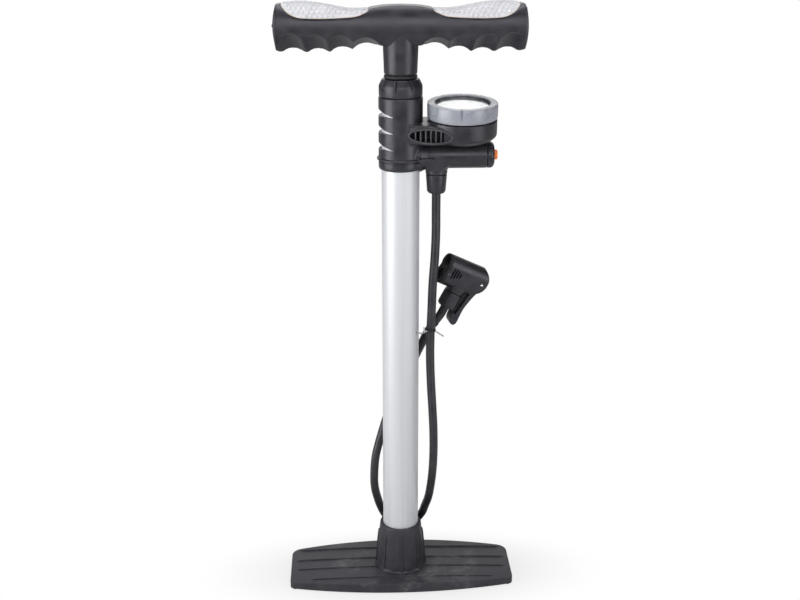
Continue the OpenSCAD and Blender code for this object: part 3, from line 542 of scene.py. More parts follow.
@dataclass(frozen=True)
class Moulded(Finish):
    """Moulded plastic or rubber: fine grain, slow changes of tone, and rub marks."""

    color: Color
    roughness: float
    specular: float
    grain: float = 2200
    grain_depth: float = 0.12
    tone: float = 0.012
    rub: float = 0.0
    rub_reach: tuple[float, float] | None = None
    scatter: float = 0.0

    def shade(self, g: Graph) -> bpy.types.Node:
        """Draws the finish and returns its shader node."""
        place = g.add("TexCoord").outputs["Object"]
        grain = g.add("Group", {"Vector": place, "Grain": self.grain}, node_tree=GRAIN)
        rubs = g.add("Group", {"Vector": place}, node_tree=RUBS)
        color = g.blend(grain.outputs["Tone"], (*self.color, 1), lighter(self.color, self.tone))
        rubbed = g.math("MULTIPLY", rubs.outputs["Mask"], self.rub)
        if self.rub_reach:
            flat = g.add("VectorMath", {0: place, 1: (1, 1, 0)}, operation="MULTIPLY").outputs[0]
            away = g.add("VectorMath", {0: flat}, operation="LENGTH").outputs["Value"]
            near, far = self.rub_reach
            ring = g.math("MULTIPLY", g.span(away, near, near + 0.01), g.span(away, far, far + 0.03, (1, 0)))
            rubbed = g.math("MULTIPLY", rubbed, ring)
        color = g.blend(rubbed, color, lighter(self.color, RUB_PALE))
        rough = g.span(grain.outputs["Tone"], 0, 1, (self.roughness - UNEVEN, self.roughness + UNEVEN))
        dulled = g.math("MULTIPLY", rubbed, RUB_DULL)
        rough = g.add("Math", {0: rough, 1: dulled}, operation="ADD").outputs[0]
        settings = {
            "Base Color": color,
            "Roughness": rough,
            "Specular IOR Level": self.specular,
            # The gloss tint paints a bluish light into the mouldings' reflections
            "Specular Tint": PAINTED_BLUE_SHEEN,
            "Normal": self.bump(g, grain.outputs["Height"], GRAIN_STRENGTH, self.grain_depth),
        }
        if self.scatter:
            settings |= {
                "Subsurface Weight": self.scatter,
                "Subsurface Radius": (1, 1, 1),
                "Subsurface Scale": SCATTER_DEPTH,
            }
        return g.add("BsdfPrincipled", settings)


@dataclass(frozen=True)
class Metal(Finish):
    """Drawn, turned or plated metal with fine lines and cloudy gloss."""

    color: Color
    metallic: float
    roughness: float
    spread: float
    stretch: tuple[float, float, float]
    lines: float
    relief: float = 0.12

    def shade(self, g: Graph) -> bpy.types.Node:
        """Draws the finish and returns its shader node."""
        place = g.add("TexCoord").outputs["Object"]
        drawn = g.add("Mapping", {"Vector": place, "Scale": self.stretch})
        streaks = g.add("Group", {"Vector": drawn.outputs[0], "Lines": self.lines}, node_tree=STREAKS)
        dark = tuple(c * LINE_SHADE for c in self.color) + (1.0,)
        color = g.blend(streaks.outputs["Lines"], dark, (*self.color, 1))
        limits = (self.roughness - self.spread, self.roughness + self.spread)
        rough = g.span(streaks.outputs["Cloud"], 0, 1, limits)
        return g.add("BsdfPrincipled", {
            "Base Color": color,
            "Metallic": self.metallic,
            "Roughness": rough,
            "Normal": self.bump(g, streaks.outputs["Lines"], self.relief, LINE_DEPTH),
        })


@dataclass(frozen=True)
class Clear(Finish):
    """Clear plastic with faint smudges."""

    color: Color = (0.97, 0.98, 0.98)

    def shade(self, g: Graph) -> bpy.types.Node:
        """Draws the finish and returns its shader node."""
        place = g.add("TexCoord").outputs["Object"]
        smudge = g.add("TexNoise", {"Vector": place, "Scale": 120.0, "Detail": 4.0})
        return g.add("BsdfPrincipled", {
            "Base Color": (*self.color, 1),
            "Transmission Weight": 1.0,
            "IOR": 1.49,
            "Roughness": g.span(smudge.outputs[0], 0.35, 0.75, (0.02, 0.09)),
        })


BLACK = Moulded("black_plastic", "moulded_black", (0.0102, 0.0099, 0.0138), 0.36, 0.5, rub=0.05)
FOOT_BLACK = Moulded(
    "black_plastic", "foot_black", (0.0215, 0.021, 0.026), 0.48, 0.36, rub=0.65, rub_reach=(0.028, 0.07)
)
FACE_BLACK = Moulded("black_plastic", "face_black", (0.009, 0.009, 0.0105), 0.6, 0.25, rub=0.05)
TRIM_BLACK = Moulded("black_plastic", "trim_black", (0.032, 0.0315, 0.037), 0.38, 0.5, rub=0.05)
GREY = Moulded("grey_plastic", "moulded_grey", (0.25, 0.262, 0.297), 0.28, 0.7, tone=0.03)
WHITE = Moulded("white_plastic", "moulded_white", (0.85, 0.85, 0.85), 0.42, 0.4, tone=0.1)
ORANGE = Moulded("orange_plastic", "moulded_orange", (0.92, 0.2, 0.02), 0.35, 0.45, tone=0.06)
DIAL = Moulded("dial_white", "dial_sheet", (0.86, 0.87, 0.89), 0.5, 0.3, 4000, 0.02, tone=0.1)
PRINT = Moulded("dial_white", "dial_print", (0.1, 0.1, 0.11), 0.5, 0.3, 4000, 0.02)
NEEDLE = Moulded("needle_red", "needle_paint", (0.6, 0.025, 0.02), 0.35, 0.5, 4000, 0.02, tone=0.04)
GRIP = Moulded("grip_clear", "grip_soft", (0.57, 0.57, 0.6), 0.5, 0.28, 1600, tone=0.12, scatter=0.35)
GRIP_EDGE = Moulded("grip_clear", "grip_edge", (0.6, 0.5, 0.42), 0.4, 0.4, tone=0.05)
RUBBER = Moulded("black_rubber", "soft_black", (0.012, 0.012, 0.013), 0.55, 0.35, 1800, 0.1, rub=0.1)
HOSE = Moulded("hose_rubber", "hose_black", (0.0095, 0.0092, 0.0115), 0.4, 0.5, 1500, 0.1, rub=0.1)
BARREL = Metal(
    "barrel_aluminium", "barrel_satin", (0.635, 0.645, 0.672), 0.48, 0.54, 0.02, (1, 1, 0.006), 260
)
CHROME = Metal(
    "rod_chrome", "rod_plated", (0.42, 0.42, 0.44), 0.85, 0.4, 0.02, (1, 1, 0.01), 500, 0.005
)
STEEL = Metal("steel", "bright_steel", (0.55, 0.55, 0.56), 1.0, 0.3, 0.08, (1, 1, 1), 1200)
BRASS = Metal("brass", "turned_brass", (0.4, 0.31, 0.15), 1.0, 0.34, 0.08, (0.4, 0.4, 3), 900)
LENS = Clear("lens_clear", "clear_lens")

# The finish of each of the record's slots, for the nodes that keep their CAD shape
CARRIED = {
    finish.slot: finish
    for finish in (
        GRIP, DIAL, BLACK, GREY, WHITE, ORANGE, NEEDLE, RUBBER, HOSE, BARREL, CHROME, STEEL, BRASS, LENS,
    )
}


def dress(
    obj: bpy.types.Object, finish: Finish, body: str, stands_for: Iterable[str] = ()
) -> bpy.types.Object:
    """Gives a piece its material and its body, and hides the nodes that it stands for.

    Args:
        obj: The finished piece.
        finish: Its finish.
        body: The body that it rides on.
        stands_for: The nodes that it replaces.

    Returns:
        The piece.
    """
    obj.data.materials.clear()
    obj.data.materials.append(finish.material())
    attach(obj, body)
    if stands_for:
        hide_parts(*stands_for)
    LOG.info("%s rides on %s", obj.name, body)
    return obj


def finish_piece(
    shape: Shape, name: str, finish: Finish, body: str = PUMP, stands_for: Iterable[str] = (),
    sharp: float = 38,
) -> bpy.types.Object:
    """Turns a shape into a finished piece, in metres.

    Args:
        shape: The shape, in millimetres.
        name: The piece's name.
        finish: Its finish.
        body: The body that it rides on.
        stands_for: The nodes that it replaces.
        sharp: Edges that turn by more than this many degrees stay sharp.

    Returns:
        The piece.
    """
    shape.move(Matrix.Scale(MM, 4))
    mesh = shape.mesh()
    mesh.name = name
    mesh.shade_smooth()
    mesh.set_sharp_from_angle(angle=math.radians(sharp))
    return dress(linked(name, mesh), finish, body, stands_for)


def wire_piece(
    name: str, strands: Sequence[Sequence[Corner]], radius: float, sides: int = 7, steps: int = 10
) -> bpy.types.Object:
    """Makes a round wire or hose that bends smoothly through points.

    Args:
        name: The piece's name.
        strands: Each strand's points, in millimetres.
        radius: The radius, in millimetres.
        sides: How finely the wire is rounded.
        steps: The number of stretches between two points.

    Returns:
        A curve object, not yet dressed.
    """
    curve = bpy.data.curves.new(name, "CURVE")
    curve.dimensions = "3D"
    curve.bevel_depth, curve.bevel_resolution = radius * MM, sides
    curve.resolution_u = curve.render_resolution_u = steps
    curve.use_fill_caps = True
    for strand in strands:
        spline = curve.splines.new("BEZIER")
        spline.bezier_points.add(len(strand) - 1)
        for point, place in zip(spline.bezier_points, strand):
            point.co = Vector(place) * MM
            point.handle_left_type = point.handle_right_type = "AUTO"
        spline.use_smooth = True
    return linked(name, curve)


@dataclass(frozen=True)
class Lamp:
    """A soft rectangular lamp that faces the object's middle."""

    name: str
    place: tuple[float, float, float]
    width: float
    height: float
    watts: float

    def build(self) -> None:
        """Creates the lamp."""
        data = bpy.data.lights.new(self.name, "AREA")
        data.shape = "RECTANGLE"
        data.size, data.size_y, data.energy = self.width, self.height, self.watts
        obj = linked(self.name, data)
        obj.location = self.place
        aim = Vector(LAMP_AIM) - Vector(self.place)
        obj.rotation_euler = aim.to_track_quat("-Z", "Y").to_euler()


@dataclass
class Studio:
    """The camera, the pale floor and the soft light."""

    camera_place: tuple[float, float, float] = (-0.0521, -1.1789, 0.7323)
    pitch: float = 71.93
    yaw: float = -2.5
    lens: float = 54.17
    shift: tuple[float, float] = (0.0, -0.03)
    floor_size: float = 6.0
    soft: float = 0.13
    lamps: tuple[Lamp, ...] = (
        Lamp("left", (-1.18, -0.55, 0.54), 0.95, 1.3, 19.5),
        Lamp("right", (1.05, -0.88, 0.54), 0.72, 1.3, 9.8),
        Lamp("front", (0.0, -1.3, 0.84), 0.9, 0.4, 5.5),
        Lamp("top", (0.0, -0.1, 1.95), 1.0, 1.0, 13),
        Lamp("back", (0.0, 1.35, 1.25), 2.0, 1.0, 4.0),
    )

    def set_camera(self) -> None:
        """Creates the camera, near the photograph's place."""
        data = bpy.data.cameras.new("camera")
        data.lens, data.sensor_width = self.lens, 36
        data.shift_x, data.shift_y = self.shift
        data.clip_start = 0.01
        camera = linked("camera", data)
        camera.location = self.camera_place
        camera.rotation_euler = (math.radians(self.pitch), 0, math.radians(self.yaw))
        bpy.context.scene.camera = camera

    def set_light(self) -> None:
        """Creates the world, the lamps and the floor."""
        bpy.context.scene.view_settings.view_transform = "Standard"
        world = bpy.data.worlds.new("studio")
        bpy.context.scene.world = world
        g = node_graph(world)
        path = g.add("LightPath").outputs
        room = g.math("MAXIMUM", path["Is Glossy Ray"], path["Is Transmission Ray"])
        soft = g.add("Background", {"Color": (0.95, 0.97, 1.0, 1), "Strength": self.soft})
        cards = g.add("Background", {"Color": (1, 1, 1, 1), "Strength": self.cards(g)})
        white = g.add("Background", {"Color": (1, 1, 1, 1), "Strength": 1.0})
        mixed = g.add("MixShader", {0: room, 1: soft.outputs[0], 2: cards.outputs[0]})
        mixed = g.add("MixShader", {0: path["Is Camera Ray"], 1: mixed.outputs[0], 2: white.outputs[0]})
        g.add("OutputWorld", {"Surface": mixed.outputs[0]})
        for lamp in self.lamps:
            lamp.build()
        self.floor()

    @staticmethod
    def cards(g: Graph) -> bpy.types.NodeSocket:
        """Returns what gloss and glass see: white behind and above, and a dimmer room in front."""
        aim = g.add("SeparateXYZ", {0: g.add("TexCoord").outputs["Generated"]}).outputs
        behind = g.math("MULTIPLY", g.span(aim["Y"], 0.7, 0.95), g.span(aim["Z"], -0.02, 0.12))
        above = g.span(aim["Z"], 0.5, 0.9, (0, 0.7))
        return g.span(g.math("MAXIMUM", behind, above), 0, 1, (0.06, 1))

    def floor(self) -> None:
        """Creates a pale floor that keeps the object's shadow and turns white away from it."""
        bm = bmesh.new()
        bmesh.ops.create_grid(bm, x_segments=2, y_segments=2, size=self.floor_size / 2)
        mesh = bpy.data.meshes.new("floor")
        bm.to_mesh(mesh)
        material = bpy.data.materials.new("pale_floor")
        g = node_graph(material)
        place = g.add("TexCoord").outputs["Object"]
        tone = g.add("TexNoise", {"Vector": place, "Scale": 6.0})
        color = g.blend(tone.outputs[0], (0.5, 0.5, 0.5, 1), (0.53, 0.53, 0.53, 1))
        matt = g.add("BsdfDiffuse", {"Color": color})
        white = g.add("Emission", {"Color": (1, 1, 1, 1), "Strength": 1.0})
        oval = g.add("VectorMath", {0: place, 1: (0.42, 1, 1)}, operation="MULTIPLY").outputs[0]
        far = g.add("VectorMath", {0: oval}, operation="LENGTH").outputs["Value"]
        path = g.add("LightPath").outputs
        seen = g.math("MAXIMUM", path["Is Camera Ray"], path["Is Transmission Ray"])
        seen = g.math("MAXIMUM", seen, g.math("MULTIPLY", path["Is Glossy Ray"], 0.45))
        share = g.math("MULTIPLY", g.span(far, 0.04, 0.1, (0.72, 1)), seen)
        mixed = g.add("MixShader", {0: share, 1: matt.outputs[0], 2: white.outputs[0]})
        g.add("OutputMaterial", {"Surface": mixed.outputs[0]})
        mesh.materials.append(material)
        linked("floor", mesh)


@dataclass
class Hose:
    """The hose, and the wire tie that holds its two strands together."""

    radius: float = 4.5
    wire_r: float = 0.38
    route: tuple[tuple[float, float, float], ...] = (
        (36, 0, 435.5), (36, 0, 415.5), (36, -1, 394), (35, -3, 369), (33, -4, 340), (32, -4, 310),
        (31, -4, 281), (31, -5, 254), (32, -7, 227), (33.5, -9, 201), (34.7, -10, 176), (35, -9, 149),
        (34.4, -6, 128), (33, 1, 106), (31, 8.5, 87.5), (28, 15, 74), (24, 21, 60), (14, 27, 47),
        (1.5, 30.3, 41), (-9, 28.8, 46.5), (-17, 25.5, 59), (-21.8, 22, 71), (-25, 18.5, 83),
        (-27.3, 15.5, 94), (-28.4, 13, 105), (-28.4, 11, 115.5), (-28, 10, 125.5), (-26.5, 10, 139),
        (-23.5, 12, 151), (-19.5, 15.5, 164), (-13, 20, 183), (-4, 24, 201), (5, 24, 220), (12, 21.5, 239),
        (18.5, 17, 256), (25, 14, 271), (31, 14, 283), (37.3, 15.7, 291.3), (42.8, 17, 298.25), (48, 17, 308),
    )
    tie_loops: tuple[float, float] = (288.2, 289.6)
    # Each twist of the tie's ends: where it starts and ends, its turns and its half width
    twists: tuple[tuple[Corner, Corner, float, float], ...] = (
        ((27.2, -8, 289.2), (20.4, -11, 287.4), 3, 0.55), ((20.4, -11, 287.4), (16.4, -12, 291), 2, 0.55),
        ((24.6, -9.4, 288.2), (23.6, -10.6, 294.4), 2, 0.5), ((35.6, -7.4, 289), (44.2, -10.4, 284), 4, 0.5),
    )

    def build(self) -> bpy.types.Object:
        """Builds the hose and returns it."""
        hose = wire_piece("pump_hose", [self.route], self.radius)
        return dress(hose, HOSE, PUMP, ("hose",))

    @staticmethod
    def twisted(start: Corner, end: Corner, turns: float, spread: float) -> list[list[Vector]]:
        """Returns two strands that wind around the straight line between two points."""
        a, b = Vector(start), Vector(end)
        run = (b - a).normalized()
        side = run.orthogonal().normalized()
        other = run.cross(side)
        steps = int(turns * 8)
        strands = []
        for first in (0, math.pi):
            angles = [first + 2 * math.pi * turns * i / steps for i in range(steps + 1)]
            strands.append([
                a.lerp(b, i / steps) + spread * (math.cos(t) * side + math.sin(t) * other)
                for i, t in enumerate(angles)
            ])
        return strands

    def build_tie(self) -> None:
        """Builds the tie: a coated loop around both strands, and its bare twisted ends."""
        loops = [[
            (26.1, -3, z), (27.6, -7.6, z + 0.3), (31.2, -9.1, z + 0.4), (35.2, -7, z + 0.2), (36, -2.4, z),
            (34, 4, z - 0.3), (38.6, 11, z), (40.2, 16.4, z + 0.2), (36, 20.4, z + 0.4), (31.2, 18, z),
            (30.4, 13, z), (31.4, 6, z - 0.3), (26.4, -1, z + 0.7),
        ] for z in self.tie_loops]
        coat = wire_piece("tie_loop", loops, 0.6, 3, 4)
        strands = [strand for twist in self.twists for strand in self.twisted(*twist)]
        ends = wire_piece("wire_tie", strands, self.wire_r, 3, 4)
        dress(coat, RUBBER, PUMP)
        dress(ends, STEEL, PUMP, ("hose_tie",))


@dataclass
class Foot:
    """The foot plate with its grip ridges and the ribbed barrel socket."""

    half_length: float = 121.5
    half_depth: float = 46.5
    end_half_depth: float = 33.0
    bottom: float = 1.5
    end_top: float = 9.5
    crown: float = 2.7
    wall: float = 3.0
    ridges: tuple[tuple[float, float], ...] = ((-30.5, 100), (-9.3, 116), (9.3, 117), (30.5, 114))
    rib_count: int = 8
    front_round: float = 4.0
    back_round: float = 9.0
    boss_place: tuple[float, float] = (105.5, 24.0)
    toe_place: tuple[float, float] = (116.0, 29.4)

    def sag(self, x: float, fall: float) -> float:
        """Returns how far an arc that falls by an amount at the ends has fallen at x."""
        r = (self.half_length**2 + fall**2) / (2 * fall)
        return r - math.sqrt(r * r - x * x)

    def top(self, x: float) -> float:
        """Returns the height of the crowned top at x."""
        return self.end_top + self.crown - self.sag(x, self.crown)

    def outline(self, inset: float) -> list[Corner]:
        """Returns the plate's outline with round corners, drawn in by an inset."""
        end = self.half_length - inset
        fall = self.half_depth - self.end_half_depth
        xs = [end * i / 16 for i in range(-16, 17)]
        edge = [(x, -(self.half_depth - inset - self.sag(x, fall))) for x in xs]
        # The points next to a corner give way to its round
        edge = [edge[0]] + edge[2:-2] + [edge[-1]]
        sides = []
        for turn, setback in ((1, self.front_round), (-1, self.back_round)):
            side = [(turn * x, turn * y) for x, y in edge]
            corner = max(setback - inset, 0.5)
            side[0], side[-1] = (*side[0], corner), (*side[-1], corner)
            sides += side
        return sides

    def crowned(self, low: float, depth: float) -> Shape:
        """Returns everything from a height up to a depth below the crowned top."""
        xs = [self.half_length * 1.02 * i / 40 for i in range(-40, 41)]
        arc = [(x, self.top(x) - depth) for x in xs]
        return Shape.prism(arc + [(xs[-1], low), (xs[0], low)], Plane.XZ, -60, 60)

    def ridge(self, y: float, reach: float) -> Shape:
        """Returns a grip ridge whose ends run out into the plate."""
        xs = [reach * i / 24 for i in range(-24, 25)]
        line = [(x, self.top(x) + 1.4 * min(1, (reach - abs(x)) / 3) - 0.1) for x in xs]
        floor = [(x, self.top(x) - 1.2) for x in reversed(xs)]
        return Shape.prism(line + floor, Plane.XZ, y - 0.95, y + 0.95).bevel(0.4, 2, 60)

    def socket(self) -> Shape:
        """Returns the barrel socket with its round rim."""
        return Shape.lathe([
            (19.15, 16), (19.15, 64, 0.7), (22.2, 64, 1.5), (23.6, 52), (25.2, 34), (26.3, 15), (26.3, 9),
            (8.3, 9.0), (4.15, 9.5), (4.15, 16),
        ], 128)

    def skirt(self) -> Shape:
        """Returns the eight-sided ledge around the socket's base, with its corners under the ribs."""
        return Shape.lathe([(20, 9), (28.9, 9), (28.9, 13.2), (27.8, 15.0), (20, 15.6)], 8).bevel(0.35, 2, 20)

    def rib(self) -> Shape:
        """Returns a socket rib at the +X side."""
        side = [(20.5, 12), (28.6, 12), (27.6, 18), (26.4, 36), (25, 50), (24.3, 54.4, 0.8), (20.5, 54.4)]
        return Shape.prism(side, Plane.XZ, -0.8, 0.8).bevel(0.4, 2, 60)

    def build(self) -> None:
        """Builds the foot: the hollow plate, the socket, and the ridges and ribs on them."""
        plate = Shape.prism(self.outline(0), Plane.XY, self.bottom, 30).meet(self.crowned(self.bottom - 1, 0))
        plate.bevel(0.8, 3, 50)
        hollow = Shape.prism(self.outline(self.wall), Plane.XY, 0, 30).meet(self.crowned(0, self.wall))
        plate.cut(hollow)
        hub = Shape.lathe([(8.3, 1.5), (19, 1.5), (19, 12), (8.3, 12)], 64)
        for x in (-1, 1):
            near, far = sorted((9 * x, 120 * x))
            plate.gather(Shape.block((near, -1.5, 1.7), (far, 1.5, 9)))
            for y in (-1, 1):
                profile = [(0, 5.7), (3.15, 5.7), (3.15, 1.5), (6, 1.5), (6, 8.5), (0, 8.5)]
                boss = Shape.lathe(profile, 32, False)
                plate.gather(boss.at(self.boss_place[0] * x, self.boss_place[1] * y, 0))
            for y in (-1, 1):
                toe = Shape.lathe([(0, 0.2), (3.4, 0.2, 0.5), (4, 3), (0, 3)], 24, False)
                plate.gather(toe.at(self.toe_place[0] * x, self.toe_place[1] * y, 0))
        plate.gather(hub, self.socket(), self.skirt(), *self.rib().around(self.rib_count, -90))
        plate.gather(*(self.ridge(y, reach) for y, reach in self.ridges))
        finish_piece(plate, "foot", FOOT_BLACK, PUMP, ("foot_plate",), 32)


@dataclass
class Barrel:
    """The satin barrel."""

    radius: float = 19.0
    wall: float = 1.5
    low: float = 16.0
    high: float = 522.0

    def build(self) -> None:
        """Builds the barrel's tube."""
        inner = self.radius - self.wall
        tube = Shape.lathe([
            (inner, self.low), (self.radius, self.low, 0.4),
            (self.radius, self.high, 0.4), (inner, self.high),
        ], 160)
        finish_piece(tube, "barrel_tube", BARREL, PUMP, ("barrel",))


@dataclass
class Head:
    """The head: its sleeve, cross tube, gauge cup, grille arm and hose neck, and the barrel cap."""

    gills: tuple[float, ...] = (482.2, 498.7, 515.2)
    grille_mid: tuple[float, float] = (27.7, 498.1)
    grille_half: tuple[float, float] = (21.8, 7.5)
    panel_x: float = 40.7
    bar_count: int = 6
    bar_start: float = 13.6
    bar_pitch: float = 4.9
    face_start: tuple[float, float] = (7.0, 20.9)
    face_end: tuple[float, float] = (54.0, 35.4)

    def bore(self) -> Shape:
        """Returns the room for the barrel."""
        return Shape.lathe([
            (0, 455), (19.15, 455), (19.15, 522), (17.2, 522), (17.2, 540), (0, 540),
        ], 96, False)

    def sleeve(self) -> Shape:
        """Returns the sleeve."""
        return Shape.lathe([
            (18, 460.8, 0.6), (21.5, 460.8, 1.6), (22, 464), (22, 533.3, 0.5), (16, 533.3),
        ], 128)

    def gill(self, z: float) -> Shape:
        """Returns the room of a gill slot, which comes to a point towards the front."""
        lip = flowing([(-8, z + 0.2), (-12, z + 1.7), (-16.5, z + 3.4), (-20, z + 5.2), (-24, z + 8)], 5)
        low = flowing([(-24, z - 2.6), (-21.5, z - 0.8), (-19, z - 0.4), (-8, z - 0.5)], 5)
        return Shape.prism(lip + low, Plane.XZ, -30, 30)

    def ring(self) -> Shape:
        """Returns the raised ring near the sleeve's lower end."""
        return Shape.lathe([
            (21, 470), (22.4, 470.2, 0.3), (23.7, 470.9, 0.6), (23.7, 472.4, 0.5), (22.7, 473.2), (21, 473.2),
        ], 128)

    @staticmethod
    def column(plan: Sequence[Corner]) -> Shape:
        """Returns a plan outline as a column that is taller than the arm."""
        return Shape.prism(plan, Plane.XY, 440, 540)

    @staticmethod
    def band(x1: float, x2: float) -> Shape:
        """Returns everything in front of the axis between two places along the arm."""
        return Shape.block((x1, -60, 480), (x2, 0, 515))

    def face(self, set_back: float, depth: float) -> Shape:
        """Returns a slab along the arm's slanted front face.

        Args:
            set_back: How far behind the face the slab starts.
            depth: The slab's thickness towards the back.

        Returns:
            The slab, from below the arm to above it.
        """
        (x1, y1), (x2, y2) = self.face_start, self.face_end
        run = Vector((x2 - x1, y1 - y2)).normalized()
        a, b = Vector((x1, -y1)) - 30 * run, Vector((x2, -y2)) + 30 * run
        back = Vector((-run.y, run.x))
        a, b = a + set_back * back, b + set_back * back
        corners = [a, b, b + depth * back, a + depth * back]
        return self.column([tuple(c) for c in corners])

    def oval(self, grow: float) -> list[tuple[float, float]]:
        """Returns the grille's outline, grown or shrunk all around."""
        return ellipse(self.grille_mid, self.grille_half[0] + grow, self.grille_half[1] + grow, 96)

    def duct(self, grow: float, set_back: float, depth: float) -> Shape:
        """Returns an oval plug behind the arm's front face, grown or shrunk all around."""
        return Shape.prism(self.oval(grow), Plane.XZ, -60, 0).meet(self.face(set_back, depth))

    def arm(self) -> Shape:
        """Returns the arm between the sleeve and the gauge."""
        roof = [
            (-26, 489), (-28.5, 497), (-28.5, 505, 1), (-26.5, 508.2, 2),
            (26.5, 508.2, 2), (28.5, 505, 1), (28.5, 497), (26, 489),
        ]
        arm = Shape.prism(roof, Plane.YZ, 2, 50)
        (x1, y1), (x2, y2) = self.face_start, self.face_end
        plan = [(x1, -y1), (x2, -y2), (x2, y2), (x1, y1)]
        arm.meet(self.column([(x, y * 0.97) for x, y in plan]))
        duct = Shape.prism(self.oval(1.4), Plane.XZ, -60, 60)
        arm.unite(duct.meet(self.column(plan)))
        return arm.cut(Gauge.lean(Shape.lathe([(0, 512.2), (36, 512.2), (36, 540), (0, 540)], 96, False)))

    def openings(self) -> list[Shape]:
        """Returns the rooms behind the two grilles, each with a shallow panel at its outer end."""
        room = self.duct(-1.3, -3, 22).meet(self.band(0, 29))
        room.unite(self.duct(-1.3, -3, 12).meet(self.band(28, self.panel_x)))
        room.unite(self.duct(-1.3, -3, 4))
        room.cut(Shape.lathe([(0, 470), (20.1, 470), (20.1, 520), (0, 520)], 96, False))
        return [room, room.mirrored(1)]

    def tube(self) -> Shape:
        """Returns the cross tube with its flare at the sleeve."""
        return Shape.lathe([
            (0, 12), (17.5, 12), (16.6, 20), (14.6, 23.6), (13.6, 27), (13.2, 31),
            (13.2, 85.8, 0.4), (7, 85.8), (7, 26), (0, 26),
        ], 96, False).at(0, 0, CROSS_Z, Lie.TO_X)

    def seam(self) -> Shape:
        """Returns the room of the seam that runs along the cross tube's front to a small hook."""
        line = Shape.block((18, -30, CROSS_Z - 0.9), (33, -11.2, CROSS_Z + 0.4))
        return line.unite(Shape.block((31.6, -30, CROSS_Z - 2.2), (33, -11.2, CROSS_Z)))

    def cup(self) -> Shape:
        """Returns the gauge's cup on its post."""
        cup = Shape.lathe([
            (0, 491), (29.6, 491, 1.5), (34.6, 495.6, 1.5), (34.6, 512.1, 0.4), (31.8, 512.1), (31.8, 494),
            (0, 494),
        ], 128, False)
        post = Shape.lathe([(0, 474), (8.5, 474), (8.5, 492.5), (0, 492.5)], 64, False)
        return Gauge.lean(cup.gather(post.at(0, 6, 0)))

    def neck(self) -> Shape:
        """Returns the hose outlet's neck, which flares into the cross tube along it."""
        neck = Shape.lathe([
            (4, 455.2), (11, 455.2, 0.4), (11, 460), (12.6, 462.4), (15.6, 464.6), (15.6, 470), (4, 470),
        ], 64)
        return neck.at(OUTLET_X, 0, 0).meet(Shape.block((10, -11.1, 450), (60, 11.1, 480)))

    def build(self) -> None:
        """Builds the housing as one fused skin with crisp slots, its grilles and the cap."""
        arm, tube = self.arm().cut(self.bore()), self.tube().cut(self.bore())
        housing = self.sleeve().cut(self.bore()).gather(arm, tube, self.cup(), self.neck())
        housing.fuse(0.72, 4)
        under = Shape.lathe([(21.2, 468.8), (24, 468.8), (24, 470.1), (21.2, 470.1)], 128)
        slots = self.seam().gather(under, *(self.gill(z) for z in self.gills), *self.openings())
        housing.cut(slots).gather(self.ring())
        finish_piece(housing, "head_shell", BLACK, PUMP, ("head_housing",), 42)
        self.build_grilles()
        self.build_cap()

    def build_grilles(self) -> None:
        """Builds the raised rims and the upright bars of the two grilles."""
        rim = self.duct(0.2, -1.5, 3.7).cut(self.duct(-1.5, -3, 8)).bevel(0.45, 3, 50)
        bars = Shape()
        for i in range(self.bar_count):
            x = self.bar_start + self.bar_pitch * i
            bar = self.duct(-1.0, -0.2, 4.3).meet(self.band(x - 0.7, x + 0.7))
            bars.gather(bar.bevel(0.25, 2, 50))
        for name, flip in (("front", False), ("back", True)):
            grille = rim.copy().gather(bars)
            grille = grille.mirrored(1) if flip else grille
            finish_piece(grille, f"grille_{name}", TRIM_BLACK, PUMP, (), 40)

    def build_cap(self) -> None:
        """Builds the barrel cap with eight notches that narrow downwards."""
        cap = Shape.lathe([
            (15.2, 524), (17.0, 524), (17.0, 533.8), (21.2, 533.8, 0.3), (21.6, 535), (21.6, 544.4, 1.4),
            (18.3, 551, 0.9), (6.4, 551), (6.4, 539), (9.6, 539), (9.6, 533.8), (15.2, 533.8),
        ], 128)
        notch = Shape.hull(
            (21.7, 0, 538.6), (16.3, 0, 553), (22.6, 6.5, 553), (22.6, -6.5, 553), (23, 0, 538.6)
        )
        cap.cut(*notch.around(8, -106.5))
        finish_piece(cap, "barrel_cap_shell", BLACK, PUMP, ("barrel_cap",), 30)


